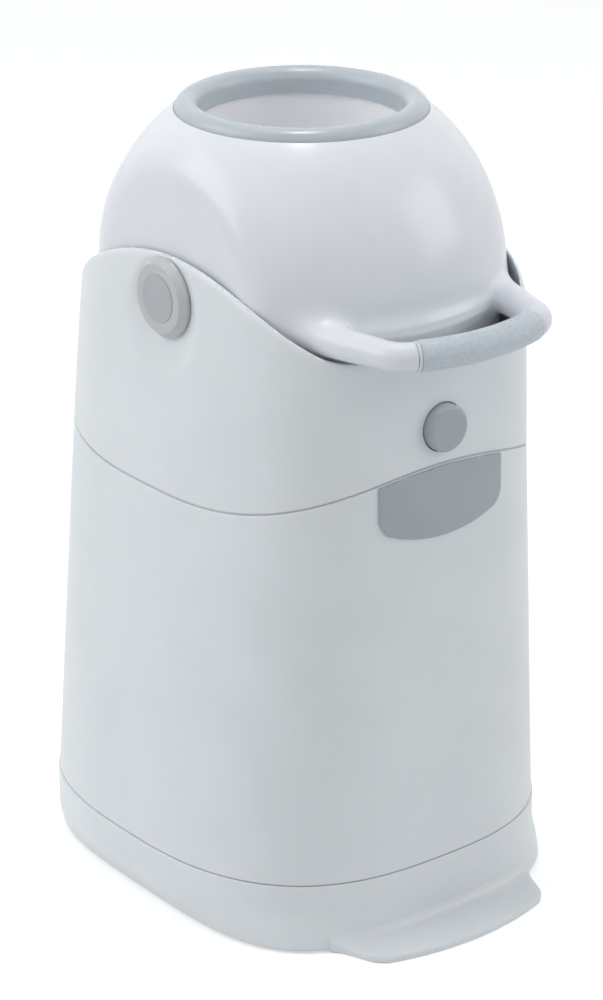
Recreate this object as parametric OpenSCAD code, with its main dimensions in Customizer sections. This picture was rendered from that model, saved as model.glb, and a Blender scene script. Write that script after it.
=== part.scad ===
// Nappy bin: a drum turns over between two ears of a hinged head above a tub
// Lengths in millimetres, the front faces -Y and the drum's axis lies along X

/* [Plan] */
// How far the base pan stands out from the ears at each side
base_out_side = 37; // [14:1:60]
// How far the base pan stands out from the parting line at the front
base_out_front = 5; // [0:0.5:30]
// How far the base pan stands out from the parting line at the rear
base_out_rear = 15; // [0:1:30]
// How far the tub stands in from the base pan
tub_step = 1; // [0:0.5:4]
// How far the parting line stands out from the ears at each side
mid_out_side = 13.5; // [0:1:40]
// How far the parting line stands out from the ears at the front
mid_out_front = 5; // [0:1:20]
// How far the parting line stands out from the ears at the rear
mid_out_rear = 15; // [0:1:20]
// How far the top of an ear stands in at its side
top_in_side = 3.5; // [0:0.5:20]
// How far the top of an ear stands in at the front and rear
top_in_reach = 3; // [0:1:20]
// Roundness exponent of the plan at the base
base_power = 2.7; // [2:0.1:5]
// Roundness exponent of the plan at the parting line
mid_power = 2.95; // [2:0.05:5]
// Roundness exponent of the plan at the ears
ear_power = 3.5; // [2:0.1:5]

/* [Heights] */
// Height of the base pan's top edge
base_h = 52; // [40:1:70]
// Height of the rubber pads under the pan
pad_h = 2; // [1:0.5:4]
// Height of the parting line at the middle of the front
seam_z = 366; // [340:1:390]
// Height of the level where the plan is set for the parting line
mid_z = 340; // [320:1:380]
// Lowest height at which the head's plan is set
head_low = 326; // [320:1:330]
// Height of the drum's pivot
pivot_z = 473; // [450:1:500]
// Height of the ears
ear_top = 504; // [485:1:530]
// Height of the head's front and rear rim
rim_z = 452; // [430:1:460]

/* [Walls] */
// Wall of tub and head
wall = 3; // [2:0.5:5]
// Wall of the base pan
pan_wall = 3; // [2:0.5:5]
// Open seam between two mouldings
seam_gap = 1.2; // [0.4:0.1:2]
// Clearance between fixed pieces that touch
fit = 0.1; // [0.05:0.05:0.4]
// Radius of the arch of the parting line
arch_r = 295; // [250:5:500]
// Radius of the arc along the top of an ear
ear_arc_r = 222; // [180:1:400]
// How far the top of an ear lies in front of the pivot
ear_shift = 7; // [0:1:20]

/* [Base] */
// Round of the pan's lower edge
pan_round = 2; // [1:0.5:8]
// Roundness exponent of the pan's lower edge
foot_power = 3.6; // [2:0.1:5]
// Height at which the pan's foot has widened to the full plan
foot_h = 26; // [10:1:40]
// How far the pan's lower edge stands in at each side
foot_in_side = 12; // [0:0.5:20]
// How far the pan's lower edge stands in at the rear
foot_in_rear = 12; // [0:0.5:20]
// Thickness of the pan's floor
floor_t = 3; // [2:0.5:5]
// Radius of a rubber pad
pad_r = 11; // [8:1:16]
// Distance of the pads from the pan's sides
pad_in_side = 54; // [30:1:90]
// Distance of the front pads from the pan's front
pad_in_front = 55.5; // [30:1:90]
// Distance of the rear pads from the pan's rear
pad_in_rear = 58; // [30:1:90]
// Half width of the toe plate at the pan
toe_half_w = 90; // [60:1:110]
// Half width of the toe plate at its front
toe_tip_w = 75; // [50:1:100]
// Reach of the toe plate beyond the pan
toe_out = 40.5; // [20:1:50]
// Thickness of the toe plate
toe_t = 5; // [3:0.5:8]
// Radius of the toe plate's bowed front edge
toe_bow_r = 230; // [150:5:400]
// Corner radius of the toe plate
toe_corner = 8; // [2:1:12]
// Depth of the collar inside the seam of pan and tub
collar_h = 24; // [12:1:40]
// Thickness of the collar
collar_t = 2.4; // [1.5:0.1:4]

/* [Latch] */
// Half width of the latch panel
panel_half_w = 57; // [40:1:70]
// Height of the panel's lower edge at the middle
panel_low = 312; // [290:1:330]
// Radius of the panel's bowed lower edge
panel_bow_r = 130; // [100:5:400]
// Corner radius of the panel
panel_corner = 9; // [3:1:16]
// Thickness of the latch panel
panel_t = 2; // [1:0.5:4]
// Half width of the keeper block
keeper_half_w = 14; // [8:1:20]
// Height of the keeper block's underside
keeper_low = 341; // [335:1:345]
// Height of the keeper block
keeper_h = 12; // [8:1:16]
// Depth of the keeper behind the front reach
keeper_depth = 13.4; // [8:0.1:16]
// Half width of the latch lever
lever_half_w = 9; // [6:0.5:12]
// Thickness of the latch lever
lever_t = 4; // [3:0.5:6]
// Height of the latch lever's pivot
lever_pivot_z = 411; // [405:1:416]
// Distance of the lever's front face behind the front reach
lever_back = 14; // [12:0.5:18]
// Reach of the lever's barb
barb = 1; // [0.5:0.1:2]
// Height of the lever's barb
barb_h = 4; // [2:0.5:6]
// Radius of the latch pin
latch_pin_r = 2; // [1.5:0.1:3]
// Thickness of a bracket cheek
cheek_t = 3; // [2:0.5:5]

/* [Button] */
// Height of the button's centre
button_z = 394; // [380:1:400]
// Radius of the hole in the head
button_hole_r = 18.5; // [14:0.1:24]
// Radius of the button
button_r = 17.6; // [12:0.1:22]
// How far the button stands proud
button_proud = 8; // [4:0.5:12]
// Length of the button's skirt
button_len = 12.8; // [10:0.1:20]
// Wall of the button
button_wall = 3; // [2:0.1:4]
// Round of the button's front edge
button_round = 3.5; // [1:0.5:6]
// Radius of the button's stem
stem_r = 4; // [3:0.1:6]
// Radius of the stem's domed end
stem_tip_r = 5; // [4.5:0.1:8]
// Travel of the button
button_travel = 4; // [2:0.5:5]
// Coil radius of the button's spring
spring_r = 8; // [6:0.1:11]
// Radius of the spring's wire
wire_r = 0.8; // [0.5:0.1:1.2]
// Turns of the spring
spring_turns = 4.5; // [3:0.5:8]

/* [Drum] */
// Radius of the drum's ball
drum_r = 151; // [140:1:165]
// Half distance between the drum's flat sides
drum_flat = 117; // [100:1:130]
// Gap between the drum's flat side and the boss of the ear
drum_side_gap = 3.4; // [3.2:0.1:6]
// Radius of the round between the ball and its flat sides
drum_round = 40; // [10:1:60]
// Wall of the drum
drum_wall = 3; // [2:0.5:4]
// Bore radius of the chamber tube
tube_bore_r = 77; // [60:0.5:80]
// Wall of the chamber tube
tube_wall = 2.5; // [2:0.1:4]
// How far a ring stands out from the drum's opening
ring_out = 8; // [2:0.5:12]
// Length of a ring's neck down to the chamber tube
ring_neck = 9.8; // [6:0.1:16]
// Clearance of the turning rings in the head
sweep_gap = 3.6; // [1.5:0.1:10]
// Outer radius of a ring
ring_r = 92.4; // [85:0.1:95]
// Radius of the ring's round section
ring_section_r = 9.2; // [6:0.1:12]
// Running clearance of the ring in the drum's opening
ring_gap = 0.6; // [0.2:0.1:2]

/* [Piston] */
// Distance between the piston's shoulders
piston_len = 105.5; // [80:0.5:130]
// Radius of the piston's body
piston_r = 76; // [60:0.5:79]
// Wall of the piston's body
piston_wall = 2.5; // [2:0.1:4]
// Radius of the raised end of the piston
piston_step_r = 69.4; // [50:0.1:73]
// Height of the raised end
piston_step_h = 7; // [3:0.5:10]
// Thickness of the piston's ends
piston_end_t = 3; // [2:0.5:5]
// Clearance of the sealing ring in the bore
seal_gap = 0.06; // [0.02:0.01:0.1]
// Height of the sealing ring
seal_h = 3; // [2:0.5:6]
// Radius of the steel ballast
ballast_r = 34; // [20:1:60]
// Thickness of the steel ballast
ballast_t = 12; // [6:1:30]
// Free space left at each end of the piston's stroke
piston_rest = 0.5; // [0.2:0.1:1]

/* [Handle] */
// Distance of the grip's centre line from the drum
handle_out = 54.5; // [45:1:80]
// Height of the handle's plane and the drum's joint below the pivot
handle_drop = 5; // [0:0.5:12]
// Radius of the grip's bow
bow_r = 150; // [100:5:400]
// Half angle of the grip's bow
bow_angle = 22; // [10:1:30]
// Angle at which the arms leave the elbows
arm_angle = 76; // [60:1:90]
// Length of an arm
arm_len = 95; // [80:1:100]
// Radius of an arm at the drum
arm_root_r = 14.5; // [10:0.1:19]
// Radius of an arm
arm_r = 10.4; // [8:0.1:11]
// Radius of the handle's elbows
elbow_r = 20; // [16:1:40]
// Radius of the grip
grip_r = 11.2; // [9:0.1:13]
// Radius of the rod inside the grip
rod_r = 8; // [5:0.1:9]
// Half angle of the grip
grip_angle = 20.2; // [12:0.1:28]
// Angle taken up by the end ring beside the grip
grip_ring_angle = 0.7; // [0.4:0.1:2]
// Reach of the drum's brim beyond the drum
brim_out = 2; // [1:0.5:16]
// Half width of the brim
brim_half_w = 92; // [60:1:100]
// Thickness of the brim
brim_t = 4; // [3:0.5:12]

/* [Bearings] */
// Radius of the axle
axle_r = 9; // [6:0.5:12]
// Radius of the axle's flange
axle_flange_r = 22; // [14:1:26]
// Thickness of the axle's flange
axle_flange_t = 1.6; // [1:0.1:3]
// Running clearance of a shaft in its bore
run_gap = 0.05; // [0.02:0.01:0.1]
// Outer radius of the bushing
bush_r = 12.8; // [11:0.1:16]
// Radius of the bushing's flange
bush_flange_r = 16; // [14:0.5:20]
// Thickness of the bushing's flange
bush_flange_t = 1.3; // [1:0.1:2]
// Gap round the hub cap at the dish's floor
dish_gap = 1.5; // [0.5:0.1:4]
// Width of the dish's sloping side
dish_side_w = 9; // [4:0.5:12]
// Depth of the dish under the widest part of the ear
dish_depth = 3.2; // [1:0.1:4]
// Thickness of the boss behind the dish
boss_t = 2.4; // [2:0.1:6]
// Radius of the hub cap at its back
hub_r = 30; // [20:0.5:32]
// Radius of the hub cap's face
hub_face_r = 25; // [18:0.5:30]
// Thickness of the hub cap
hub_t = 6.9; // [5:0.1:12]
// Gap between the hub cap and the dish
hub_gap = 0.8; // [0.3:0.1:2]
// Radius of the plain disc on the hub cap
disc_r = 17.6; // [10:0.1:24]
// Thickness of the plain disc
disc_t = 0.8; // [0.4:0.1:2]

/* [Hinge] */
// Distance of the hinge axis behind the rear wall
hinge_out = 7.5; // [7:0.5:12]
// Height of the hinge axis
hinge_z = 362; // [355:1:366]
// Radius of the hinge barrels
barrel_r = 7; // [5:0.5:8]
// Radius of the hinge pin
hinge_pin_r = 3; // [2:0.1:4]
// Half length of the head's hinge barrel
knuckle_half = 50; // [30:1:60]
// Length of each of the tub's hinge barrels
lug_w = 16; // [8:1:24]
// Gap between hinge barrels
hinge_gap = 0.8; // [0.3:0.1:2]
// Height of the hinge arms
hinge_arm_h = 12; // [8:1:16]

/* [Bag ring] */
// Height of the ledge's top
ledge_z = 317; // [300:1:324]
// Thickness of the ledge
ledge_t = 3; // [2:0.5:5]
// Reach of the ledge into the tub
ledge_w = 11; // [8:1:16]
// Width of the bag ring's frame
bag_w = 13; // [8:1:20]
// Height of the bag ring
bag_h = 8; // [5:0.5:12]
// Free space around the bag ring
bag_gap = 1.6; // [0.8:0.1:3]
// Length of a lifting tab
tab_len = 40; // [20:1:60]
// Reach of a lifting tab
tab_reach = 11; // [8:1:16]
// Height of a lifting tab
tab_h = 9; // [5:0.5:9]
// Wall of a lifting tab
tab_wall = 2.5; // [2:0.5:4]

/* [Deck] */
// Height of the deck inside the head
deck_z = 420; // [418:1:430]
// Thickness of the deck
deck_t = 3; // [2:0.5:5]
// Clearance of the turning rings in the deck's opening
deck_gap = 3; // [1.5:0.1:8]
// Clearance of the drum's flat side in the deck's opening
deck_side_gap = 4.5; // [1:0.5:8]
// Least width of the deck's rim along the head's wall
deck_rim = 4; // [2:0.5:12]

/* [Hidden] */
$fn = 96;
plan_steps = 72;
slab_h = 0.5;
over = 1;
far = 500;
boss_inner = drum_flat + drum_side_gap;
dish_floor = boss_inner + boss_t;
ear_half_w = dish_floor + dish_depth;
dish_r = hub_r + dish_gap;
boss_r = dish_r + dish_side_w + wall;
drum_open_r = ring_r + ring_gap;
ring_reach = sqrt(pow(drum_r, 2) - pow(drum_open_r, 2)) + ring_out;
ring_centre = ring_reach - ring_section_r;
ring_axis_r = ring_r - ring_section_r;
ring_bore_r = ring_axis_r - ring_section_r;
tube_half = ring_centre - ring_neck;
sweep_r = sqrt(pow(ring_centre, 2) + pow(ring_axis_r, 2)) + ring_section_r;
ear_front = sweep_r + sweep_gap + wall;
ear_rear = ear_front;
mid_half_w = ear_half_w + mid_out_side;
mid_front = ear_front + mid_out_front;
mid_rear = ear_rear + mid_out_rear;
base_half_w = ear_half_w + base_out_side;
base_front = mid_front + base_out_front;
base_rear = mid_rear + base_out_rear;
tub_half_w = base_half_w - tub_step;
tub_front = base_front - tub_step;
tub_rear = base_rear - tub_step;
top_half_w = ear_half_w - top_in_side;
top_reach = ear_front - top_in_reach;
pad_x = base_half_w - pad_in_side;
pad_front = base_front - pad_in_front;
pad_rear = base_rear - pad_in_rear;
toe_reach = base_front + toe_out;
hinge_y = mid_rear + hinge_out;
deck_open_r = sqrt(pow(sweep_r, 2) - pow(pivot_z - deck_z - deck_t, 2)) + deck_gap;
deck_open_w = drum_flat + deck_side_gap;
handle_reach = drum_r + handle_out;
brim_r = drum_r + brim_out;
elbow_x = (bow_r - elbow_r) * sin(bow_angle);
elbow_y = bow_r - handle_reach - (bow_r - elbow_r) * cos(bow_angle);
front_reach = handle_reach + grip_r;
axis_y = (front_reach - base_rear) / 2;
overall_h = pivot_z + ring_reach;
arch_axis_z = seam_z - arch_r;
ear_axis_z = ear_top - ear_arc_r;
tub_low = base_h + seam_gap / 2;
hub_back = dish_floor + hub_gap;
hub_face = hub_back + hub_t;
round_axis_x = drum_flat - drum_round;
round_axis_r = sqrt(pow(drum_r - drum_round, 2) - pow(round_axis_x, 2));
round_cos = round_axis_x / (drum_r - drum_round);
piston_low = -tube_half + piston_rest;
piston_high = piston_low + piston_len;
piston_stroke = 2 * (tube_half - piston_rest) - piston_len;
front_wall_y = -mid_front + (button_z - mid_z) / (pivot_z - mid_z) * (mid_front - ear_front);
button_face_y = front_wall_y - button_proud;
button_back_y = button_face_y + button_len;
lever_front_y = front_wall_y + lever_back;
guide_back_y = lever_front_y - fit - button_wall;
guide_t = 2;
spring_front_y = button_face_y + button_wall + button_round / 2 + wire_r + 2 * fit;
spring_back_y = guide_back_y - guide_t - wire_r - 2 * fit;
coil_steps = 20;
wire_sides = 8;

// Plan of the outside at a height
function half_w_at(z) = lookup(z, [[0, base_half_w], [base_h, tub_half_w], [mid_z, mid_half_w],
    [pivot_z, ear_half_w], [ear_top, top_half_w]]);
function front_at(z) = lookup(z, [[base_h, tub_front], [mid_z, mid_front],
    [pivot_z, ear_front], [ear_top, top_reach]]);
function rear_at(z) = lookup(z, [[base_h, tub_rear], [mid_z, mid_rear],
    [pivot_z, ear_rear], [ear_top, top_reach]]);
function power_at(z) = lookup(z, [[base_h, base_power], [mid_z, mid_power], [pivot_z, ear_power]]);
function signed_power(v, n) = sign(v) * pow(abs(v), 2 / n);
function oval(half_w, front, rear, n, inset) =
    let(c = (rear - front) / 2, b = (rear + front) / 2 - inset)
    [for (i = [0:plan_steps - 1])
        let(t = 360 * i / plan_steps)
        [(half_w - inset) * signed_power(cos(t), n), c + b * signed_power(sin(t), n)]];
function foot_plan(inset) = oval(base_half_w - foot_in_side, base_front,
    base_rear - foot_in_rear, foot_power, inset);
function plan(z, inset) = oval(half_w_at(z), front_at(z), rear_at(z), power_at(z), inset);

// Move from the drum's axis to the middle of the whole bin
module placed()
    translate([0, axis_y, 0])
        children();

module slab(z, inset)
    translate([0, 0, z])
        linear_extrude(slab_h)
            polygon(plan(z, inset));

// Body between two heights, set in from the outside
module loft(low, mid, high, inset)
    hull() {
        slab(low, inset);
        slab(mid, inset);
        slab(high - slab_h, inset);
    }

// Outside of the head, set in and made longer at both ends
module head_form(inset, longer)
    hull() {
        slab(head_low - longer, inset);
        slab(mid_z, inset);
        slab(pivot_z, inset);
        slab(ear_top + longer, inset);
    }

module rod_x(from, to, r)
    translate([from, 0, 0])
        rotate([0, 90, 0])
            cylinder(h = to - from, r = r);

module rod_y(from, to, r)
    translate([0, from, 0])
        rotate([-90, 0, 0])
            cylinder(h = to - from, r = r);

module block(x0, x1, y0, y1, z0, z1)
    translate([x0, y0, z0])
        cube([x1 - x0, y1 - y0, z1 - z0]);

// Everything below the arched parting line, grown by a gap
module below_arch(gap)
    translate([0, 0, arch_axis_z])
        rod_y(-far, far, arch_r + gap);

// Everything below the rim of the head
module below_rim()
    union() {
        translate([0, -ear_shift, ear_axis_z])
            rod_x(-far, far, ear_arc_r);
        block(-far, far, -far, far, 0, rim_z);
    }

// Tub
module tub_shell()
    color("#e4e7e8")
        placed()
            difference() {
                intersection() {
                    loft(tub_low, mid_z, seam_z + 2 * over, 0);
                    below_arch(0);
                }
                loft(tub_low - over, mid_z, seam_z + 4 * over, wall);
            }

// Outside of the pan, set in, between two heights
module pan_form(inset, low, high)
    hull() {
        translate([0, 0, low])
            linear_extrude(slab_h)
                polygon(foot_plan(inset + pan_round));
        translate([0, 0, low + pan_round])
            linear_extrude(slab_h)
                polygon(foot_plan(inset));
        translate([0, 0, foot_h])
            linear_extrude(high - foot_h)
                polygon(oval(base_half_w, base_front, base_rear, base_power, inset));
    }

module base_pan()
    color("#dfe3e4")
        placed()
            difference() {
                pan_form(0, pad_h, base_h);
                pan_form(pan_wall + pan_round / 2, pad_h + floor_t, base_h + over);
            }

module seam_collar()
    color("#d4d8da")
        placed()
            translate([0, 0, base_h - collar_h / 2])
                linear_extrude(collar_h)
                    difference() {
                        polygon(plan(base_h + collar_h / 2, wall + fit));
                        polygon(plan(base_h + collar_h / 2, wall + collar_t));
                    }

module toe_plate()
    color("#e4e7e8")
        placed()
            linear_extrude(toe_t)
                difference() {
                    offset(r = toe_corner)
                        offset(delta = -toe_corner)
                            intersection() {
                                translate([0, toe_bow_r - toe_reach])
                                    circle(r = toe_bow_r);
                                polygon([[-toe_half_w, -base_front + 3 * toe_corner],
                                    [toe_half_w, -base_front + 3 * toe_corner],
                                    [toe_half_w, -base_front], [toe_tip_w, -toe_reach],
                                    [-toe_tip_w, -toe_reach], [-toe_half_w, -base_front]]);
                            }
                    polygon(foot_plan(-fit));
                }

module pad(x, y)
    color("#9aa1a5")
        placed()
            translate([x, y, 0])
                cylinder(h = pad_h - fit / 2, r = pad_r);

module pad_front_left() pad(-pad_x, -pad_front);
module pad_front_right() pad(pad_x, -pad_front);
module pad_rear_left() pad(-pad_x, pad_rear);
module pad_rear_right() pad(pad_x, pad_rear);

// Outline of the latch panel seen from the front
module panel_outline()
    offset(r = panel_corner)
        offset(delta = -panel_corner)
            intersection() {
                translate([0, panel_low + panel_bow_r])
                    circle(r = panel_bow_r);
                translate([-panel_half_w, panel_low])
                    square([2 * panel_half_w, seam_z - panel_low + 4 * panel_corner]);
            }

module latch_panel()
    color("#9fa9ae")
        placed()
            difference() {
                intersection() {
                    loft(panel_low - over, mid_z, seam_z + 2 * over, -panel_t);
                    rotate([90, 0, 0])
                        linear_extrude(far)
                            panel_outline();
                    below_arch(-seam_gap / 2);
                }
                loft(panel_low - 2 * over, mid_z, seam_z + 4 * over, -fit);
            }

module latch_keeper()
    color("#8f989d")
        placed()
            intersection() {
                loft(keeper_low - 2 * over, mid_z + slab_h, seam_z, wall + fit);
                block(-keeper_half_w, keeper_half_w, -far, -mid_front + keeper_depth,
                    keeper_low, keeper_low + keeper_h);
            }

module rim_ledge()
    color("#d4d8da")
        placed()
            translate([0, 0, ledge_z - ledge_t])
                linear_extrude(ledge_t)
                    difference() {
                        polygon(plan(ledge_z, wall + 2 * fit));
                        polygon(plan(ledge_z, wall + ledge_w));
                    }

// Hinge
module tub_hinge(from)
    color("#d9dddf")
        placed()
            difference() {
                union() {
                    translate([0, hinge_y, hinge_z])
                        rod_x(from, from + lug_w, barrel_r);
                    block(from, from + lug_w, mid_rear - 2 * hinge_arm_h, hinge_y,
                        hinge_z - barrel_r - hinge_arm_h / 2, hinge_z - barrel_r / 2);
                }
                loft(mid_z - 2 * hinge_arm_h, mid_z, hinge_z + 2 * hinge_arm_h, -fit);
                translate([0, hinge_y, hinge_z])
                    rod_x(-far, far, hinge_pin_r + run_gap);
            }

module tub_hinge_left() tub_hinge(-knuckle_half - hinge_gap - lug_w);
module tub_hinge_right() tub_hinge(knuckle_half + hinge_gap);

module head_hinge()
    color("#d9dddf")
        placed()
            difference() {
                union() {
                    translate([0, hinge_y, hinge_z])
                        rod_x(-knuckle_half, knuckle_half, barrel_r);
                    block(-knuckle_half, knuckle_half, mid_rear - 2 * hinge_arm_h, hinge_y,
                        seam_z + seam_gap + over, hinge_z + barrel_r + hinge_arm_h);
                }
                translate([0, hinge_y + hinge_arm_h, hinge_z + barrel_r + hinge_arm_h])
                    rod_x(-far, far, hinge_arm_h);
                head_form(-fit, over);
                translate([0, hinge_y, hinge_z])
                    rod_x(-far, far, hinge_pin_r + run_gap);
            }

module hinge_pin()
    color("#b9bec1")
        placed()
            translate([0, hinge_y, hinge_z])
                rod_x(-knuckle_half - hinge_gap - lug_w - over,
                    knuckle_half + hinge_gap + lug_w + over, hinge_pin_r);

module pin_cap(side)
    color("#c9ced0")
        placed()
            translate([0, hinge_y, hinge_z])
                mirror([side > 0 ? 0 : 1, 0, 0])
                    translate([knuckle_half + hinge_gap + lug_w + fit, 0, 0])
                        difference() {
                            rod_x(0, 3 * over, barrel_r - over);
                            rod_x(-over, over, hinge_pin_r + run_gap);
                        }

module pin_cap_left() pin_cap(-1);
module pin_cap_right() pin_cap(1);

// Ring that holds the edge of the bag
module bag_ring()
    color("#aab4b9")
        placed()
            translate([0, 0, ledge_z + fit])
                linear_extrude(bag_h)
                    difference() {
                        polygon(plan(ledge_z + bag_h, wall + bag_gap));
                        polygon(plan(ledge_z + bag_h, wall + bag_gap + bag_w));
                    }

module bag_tab(side)
    color("#aab4b9")
        placed()
            mirror([side > 0 ? 0 : 1, 0, 0])
                intersection() {
                    linear_extrude(far)
                        polygon(plan(ledge_z + bag_h, wall + bag_gap + bag_w + fit));
                    translate([half_w_at(ledge_z + bag_h) - wall - bag_gap - bag_w, 0, 0])
                        difference() {
                            block(-tab_reach, 0, -tab_len / 2, tab_len / 2, ledge_z + fit,
                                ledge_z + fit + tab_h);
                            block(-tab_reach + tab_wall, -tab_wall, -tab_len / 2 + tab_wall,
                                tab_len / 2 - tab_wall, 0, far);
                        }
                }

module bag_tab_left() bag_tab(-1);
module bag_tab_right() bag_tab(1);

// Head
module head_shell()
    color("#e4e7e8")
        placed()
            difference() {
                intersection() {
                    head_form(0, over);
                    below_rim();
                }
                difference() {
                    head_form(wall, 4 * over);
                    for (side = [-1, 1])
                        translate([side * boss_inner, 0, pivot_z])
                            rotate([0, side * 90, 0])
                                cylinder(h = boss_r, r = boss_r);
                }
                below_arch(seam_gap);
                for (side = [-1, 1])
                    translate([side * dish_floor, 0, pivot_z])
                        rotate([0, side * 90, 0])
                            cylinder(h = 2 * dish_depth, r1 = dish_r, r2 = dish_r + 2 * dish_side_w);
                translate([0, 0, pivot_z])
                    rod_x(-far, far, bush_r + fit);
                translate([0, 0, button_z])
                    rod_y(-far, 0, button_hole_r);
            }

module head_deck()
    color("#cfd4d6")
        placed()
            intersection() {
                head_form(wall + fit, over);
                translate([0, 0, deck_z])
                    linear_extrude(deck_t)
                        difference() {
                            square(far, center = true);
                            intersection() {
                                circle(r = deck_open_r);
                                square([2 * deck_open_w, far], center = true);
                                polygon(plan(deck_z, wall + fit + deck_rim));
                            }
                        }
            }

// Bushing between the ear and the axle
module bushing(side)
    color("#c3c9cc")
        placed()
            translate([0, 0, pivot_z])
                mirror([side > 0 ? 0 : 1, 0, 0])
                    difference() {
                        union() {
                            rod_x(boss_inner - fit - bush_flange_t, boss_inner - fit, bush_flange_r);
                            rod_x(boss_inner - fit - bush_flange_t, dish_floor, bush_r);
                        }
                        rod_x(0, far, axle_r + run_gap);
                    }

module bushing_left() bushing(-1);
module bushing_right() bushing(1);

module button_guide()
    color("#b4bbbf")
        placed()
            intersection() {
                head_form(wall + fit, over);
                translate([0, 0, button_z])
                    difference() {
                        rod_y(-far, guide_back_y, button_hole_r + 3 * over + guide_t);
                        rod_y(-far, guide_back_y - guide_t, button_hole_r + 2 * over);
                        rod_y(-far, far, stem_r + run_gap);
                    }
            }

// Latch behind the button
module latch_bracket(side)
    color("#b4bbbf")
        placed()
            mirror([side > 0 ? 0 : 1, 0, 0])
                difference() {
                    block(lever_half_w + fit, lever_half_w + fit + cheek_t,
                        guide_back_y + 3 * fit, lever_front_y + lever_t / 2 + over,
                        lever_pivot_z - 2 * lever_t, deck_z - fit);
                    translate([0, lever_front_y + lever_t / 2 - over, lever_pivot_z])
                        rod_x(0, far, latch_pin_r + run_gap);
                }

module latch_bracket_left() latch_bracket(-1);
module latch_bracket_right() latch_bracket(1);

module latch_pin()
    color("#b9bec1")
        placed()
            translate([0, lever_front_y + lever_t / 2 - over, lever_pivot_z])
                rod_x(-lever_half_w - cheek_t - over, lever_half_w + cheek_t + over, latch_pin_r);

module latch_lever()
    color("#8f989d")
        placed()
            difference() {
                union() {
                    block(-lever_half_w, lever_half_w, lever_front_y, lever_front_y + lever_t,
                        keeper_low - barb_h, lever_pivot_z);
                    block(-lever_half_w, lever_half_w, lever_front_y - barb, lever_front_y,
                        keeper_low - barb_h, keeper_low - 4 * fit);
                    translate([0, lever_front_y + lever_t / 2 - over, lever_pivot_z])
                        rod_x(-lever_half_w, lever_half_w, lever_t);
                }
                translate([0, lever_front_y + lever_t / 2 - over, lever_pivot_z])
                    rod_x(-far, far, latch_pin_r + run_gap);
            }

// Round button with its stem and spring
module button_cap()
    color("#9fa9ae")
        placed()
            translate([0, button_face_y, button_z])
                rotate([-90, 0, 0])
                    difference() {
                        union() {
                            translate([0, 0, button_round])
                                cylinder(h = button_len - button_round, r = button_r);
                            cylinder(h = button_len, r = button_r - button_round);
                            translate([0, 0, button_round])
                                rotate_extrude()
                                    translate([button_r - button_round, 0])
                                        circle(r = button_round);
                            translate([0, 0, button_len - over])
                                cylinder(h = over, r = button_hole_r + over);
                        }
                        translate([0, 0, button_wall + button_round / 2])
                            cylinder(h = far, r = button_r - button_wall - over);
                    }

module button_stem()
    color("#8f989d")
        placed()
            translate([0, 0, button_z])
                intersection() {
                    rod_y(button_face_y + button_wall + button_round / 2 + fit, lever_front_y - fit, stem_r);
                    union() {
                        rod_y(-far, lever_front_y - fit - stem_tip_r, 2 * stem_r);
                        translate([0, lever_front_y - fit - stem_tip_r, 0])
                            sphere(r = stem_tip_r);
                    }
                }

// Wire swept along a helix about Z
module coil(height, turns, r, wire) {
    steps = coil_steps * turns;
    rim = [for (i = [0:steps]) for (j = [0:wire_sides - 1])
        let(a = 360 * i / coil_steps, b = 360 * j / wire_sides)
        [(r + wire * cos(b)) * cos(a), (r + wire * cos(b)) * sin(a), height * i / steps + wire * sin(b)]];
    skin = [for (i = [0:steps - 1]) for (j = [0:wire_sides - 1])
        let(k = (j + 1) % wire_sides)
        [i * wire_sides + j, i * wire_sides + k, (i + 1) * wire_sides + k, (i + 1) * wire_sides + j]];
    first = [[for (j = [wire_sides - 1:-1:0]) j]];
    last = [[for (j = [0:wire_sides - 1]) steps * wire_sides + j]];
    polyhedron(points = rim, faces = concat(skin, first, last), convexity = 10);
}

module button_spring()
    color("#b9bec1")
        placed()
            translate([0, spring_front_y, button_z])
                rotate([-90, 0, 0])
                    coil(spring_back_y - spring_front_y, spring_turns, spring_r, wire_r);

// Drum: a ball with two flat sides and rounded edges between them
module ball(grow)
    rotate([0, 90, 0])
        rotate_extrude()
            intersection() {
                union() {
                    intersection() {
                        circle(r = drum_r + grow);
                        square([far, 2 * (drum_r + grow) * round_cos], center = true);
                    }
                    for (side = [-1, 1])
                        translate([round_axis_r, side * round_axis_x])
                            circle(r = drum_round + grow);
                    translate([0, -drum_flat - grow])
                        square([round_axis_r, 2 * (drum_flat + grow)]);
                }
                translate([0, -far / 2])
                    square([far, far]);
            }

module drum_half(side)
    color("#e9ebec")
        placed()
            translate([0, 0, pivot_z])
                mirror([0, 0, side > 0 ? 0 : 1])
                    difference() {
                        ball(0);
                        ball(-drum_wall);
                        block(-far, far, -far, far, -far, fit / 2 - side * handle_drop);
                        cylinder(h = far, r = drum_open_r);
                    }

module drum_upper() drum_half(1);
module drum_lower() drum_half(-1);

module chamber_tube()
    color("#dfe3e5")
        placed()
            translate([0, 0, pivot_z - tube_half])
                difference() {
                    cylinder(h = 2 * tube_half, r = tube_bore_r + tube_wall);
                    translate([0, 0, -over])
                        cylinder(h = 2 * tube_half + 2 * over, r = tube_bore_r);
                }

module end_ring(side)
    color("#c6ccd0")
        placed()
            translate([0, 0, pivot_z])
                mirror([0, 0, side > 0 ? 0 : 1])
                    union() {
                        translate([0, 0, ring_centre])
                            rotate_extrude()
                                translate([ring_axis_r, 0])
                                    circle(r = ring_section_r);
                        difference() {
                            translate([0, 0, tube_half + fit])
                                cylinder(h = ring_centre - tube_half - fit, r = ring_axis_r + ring_section_r / 2);
                            cylinder(h = far, r = ring_bore_r);
                        }
                    }

module ring_top() end_ring(1);
module ring_bottom() end_ring(-1);

// Handle that turns the drum
module bow(r, from, to)
    translate([0, bow_r - handle_reach, 0])
        rotate([0, 0, from - 90])
            rotate_extrude(angle = to - from)
                translate([bow_r, 0])
                    circle(r = r);

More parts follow.
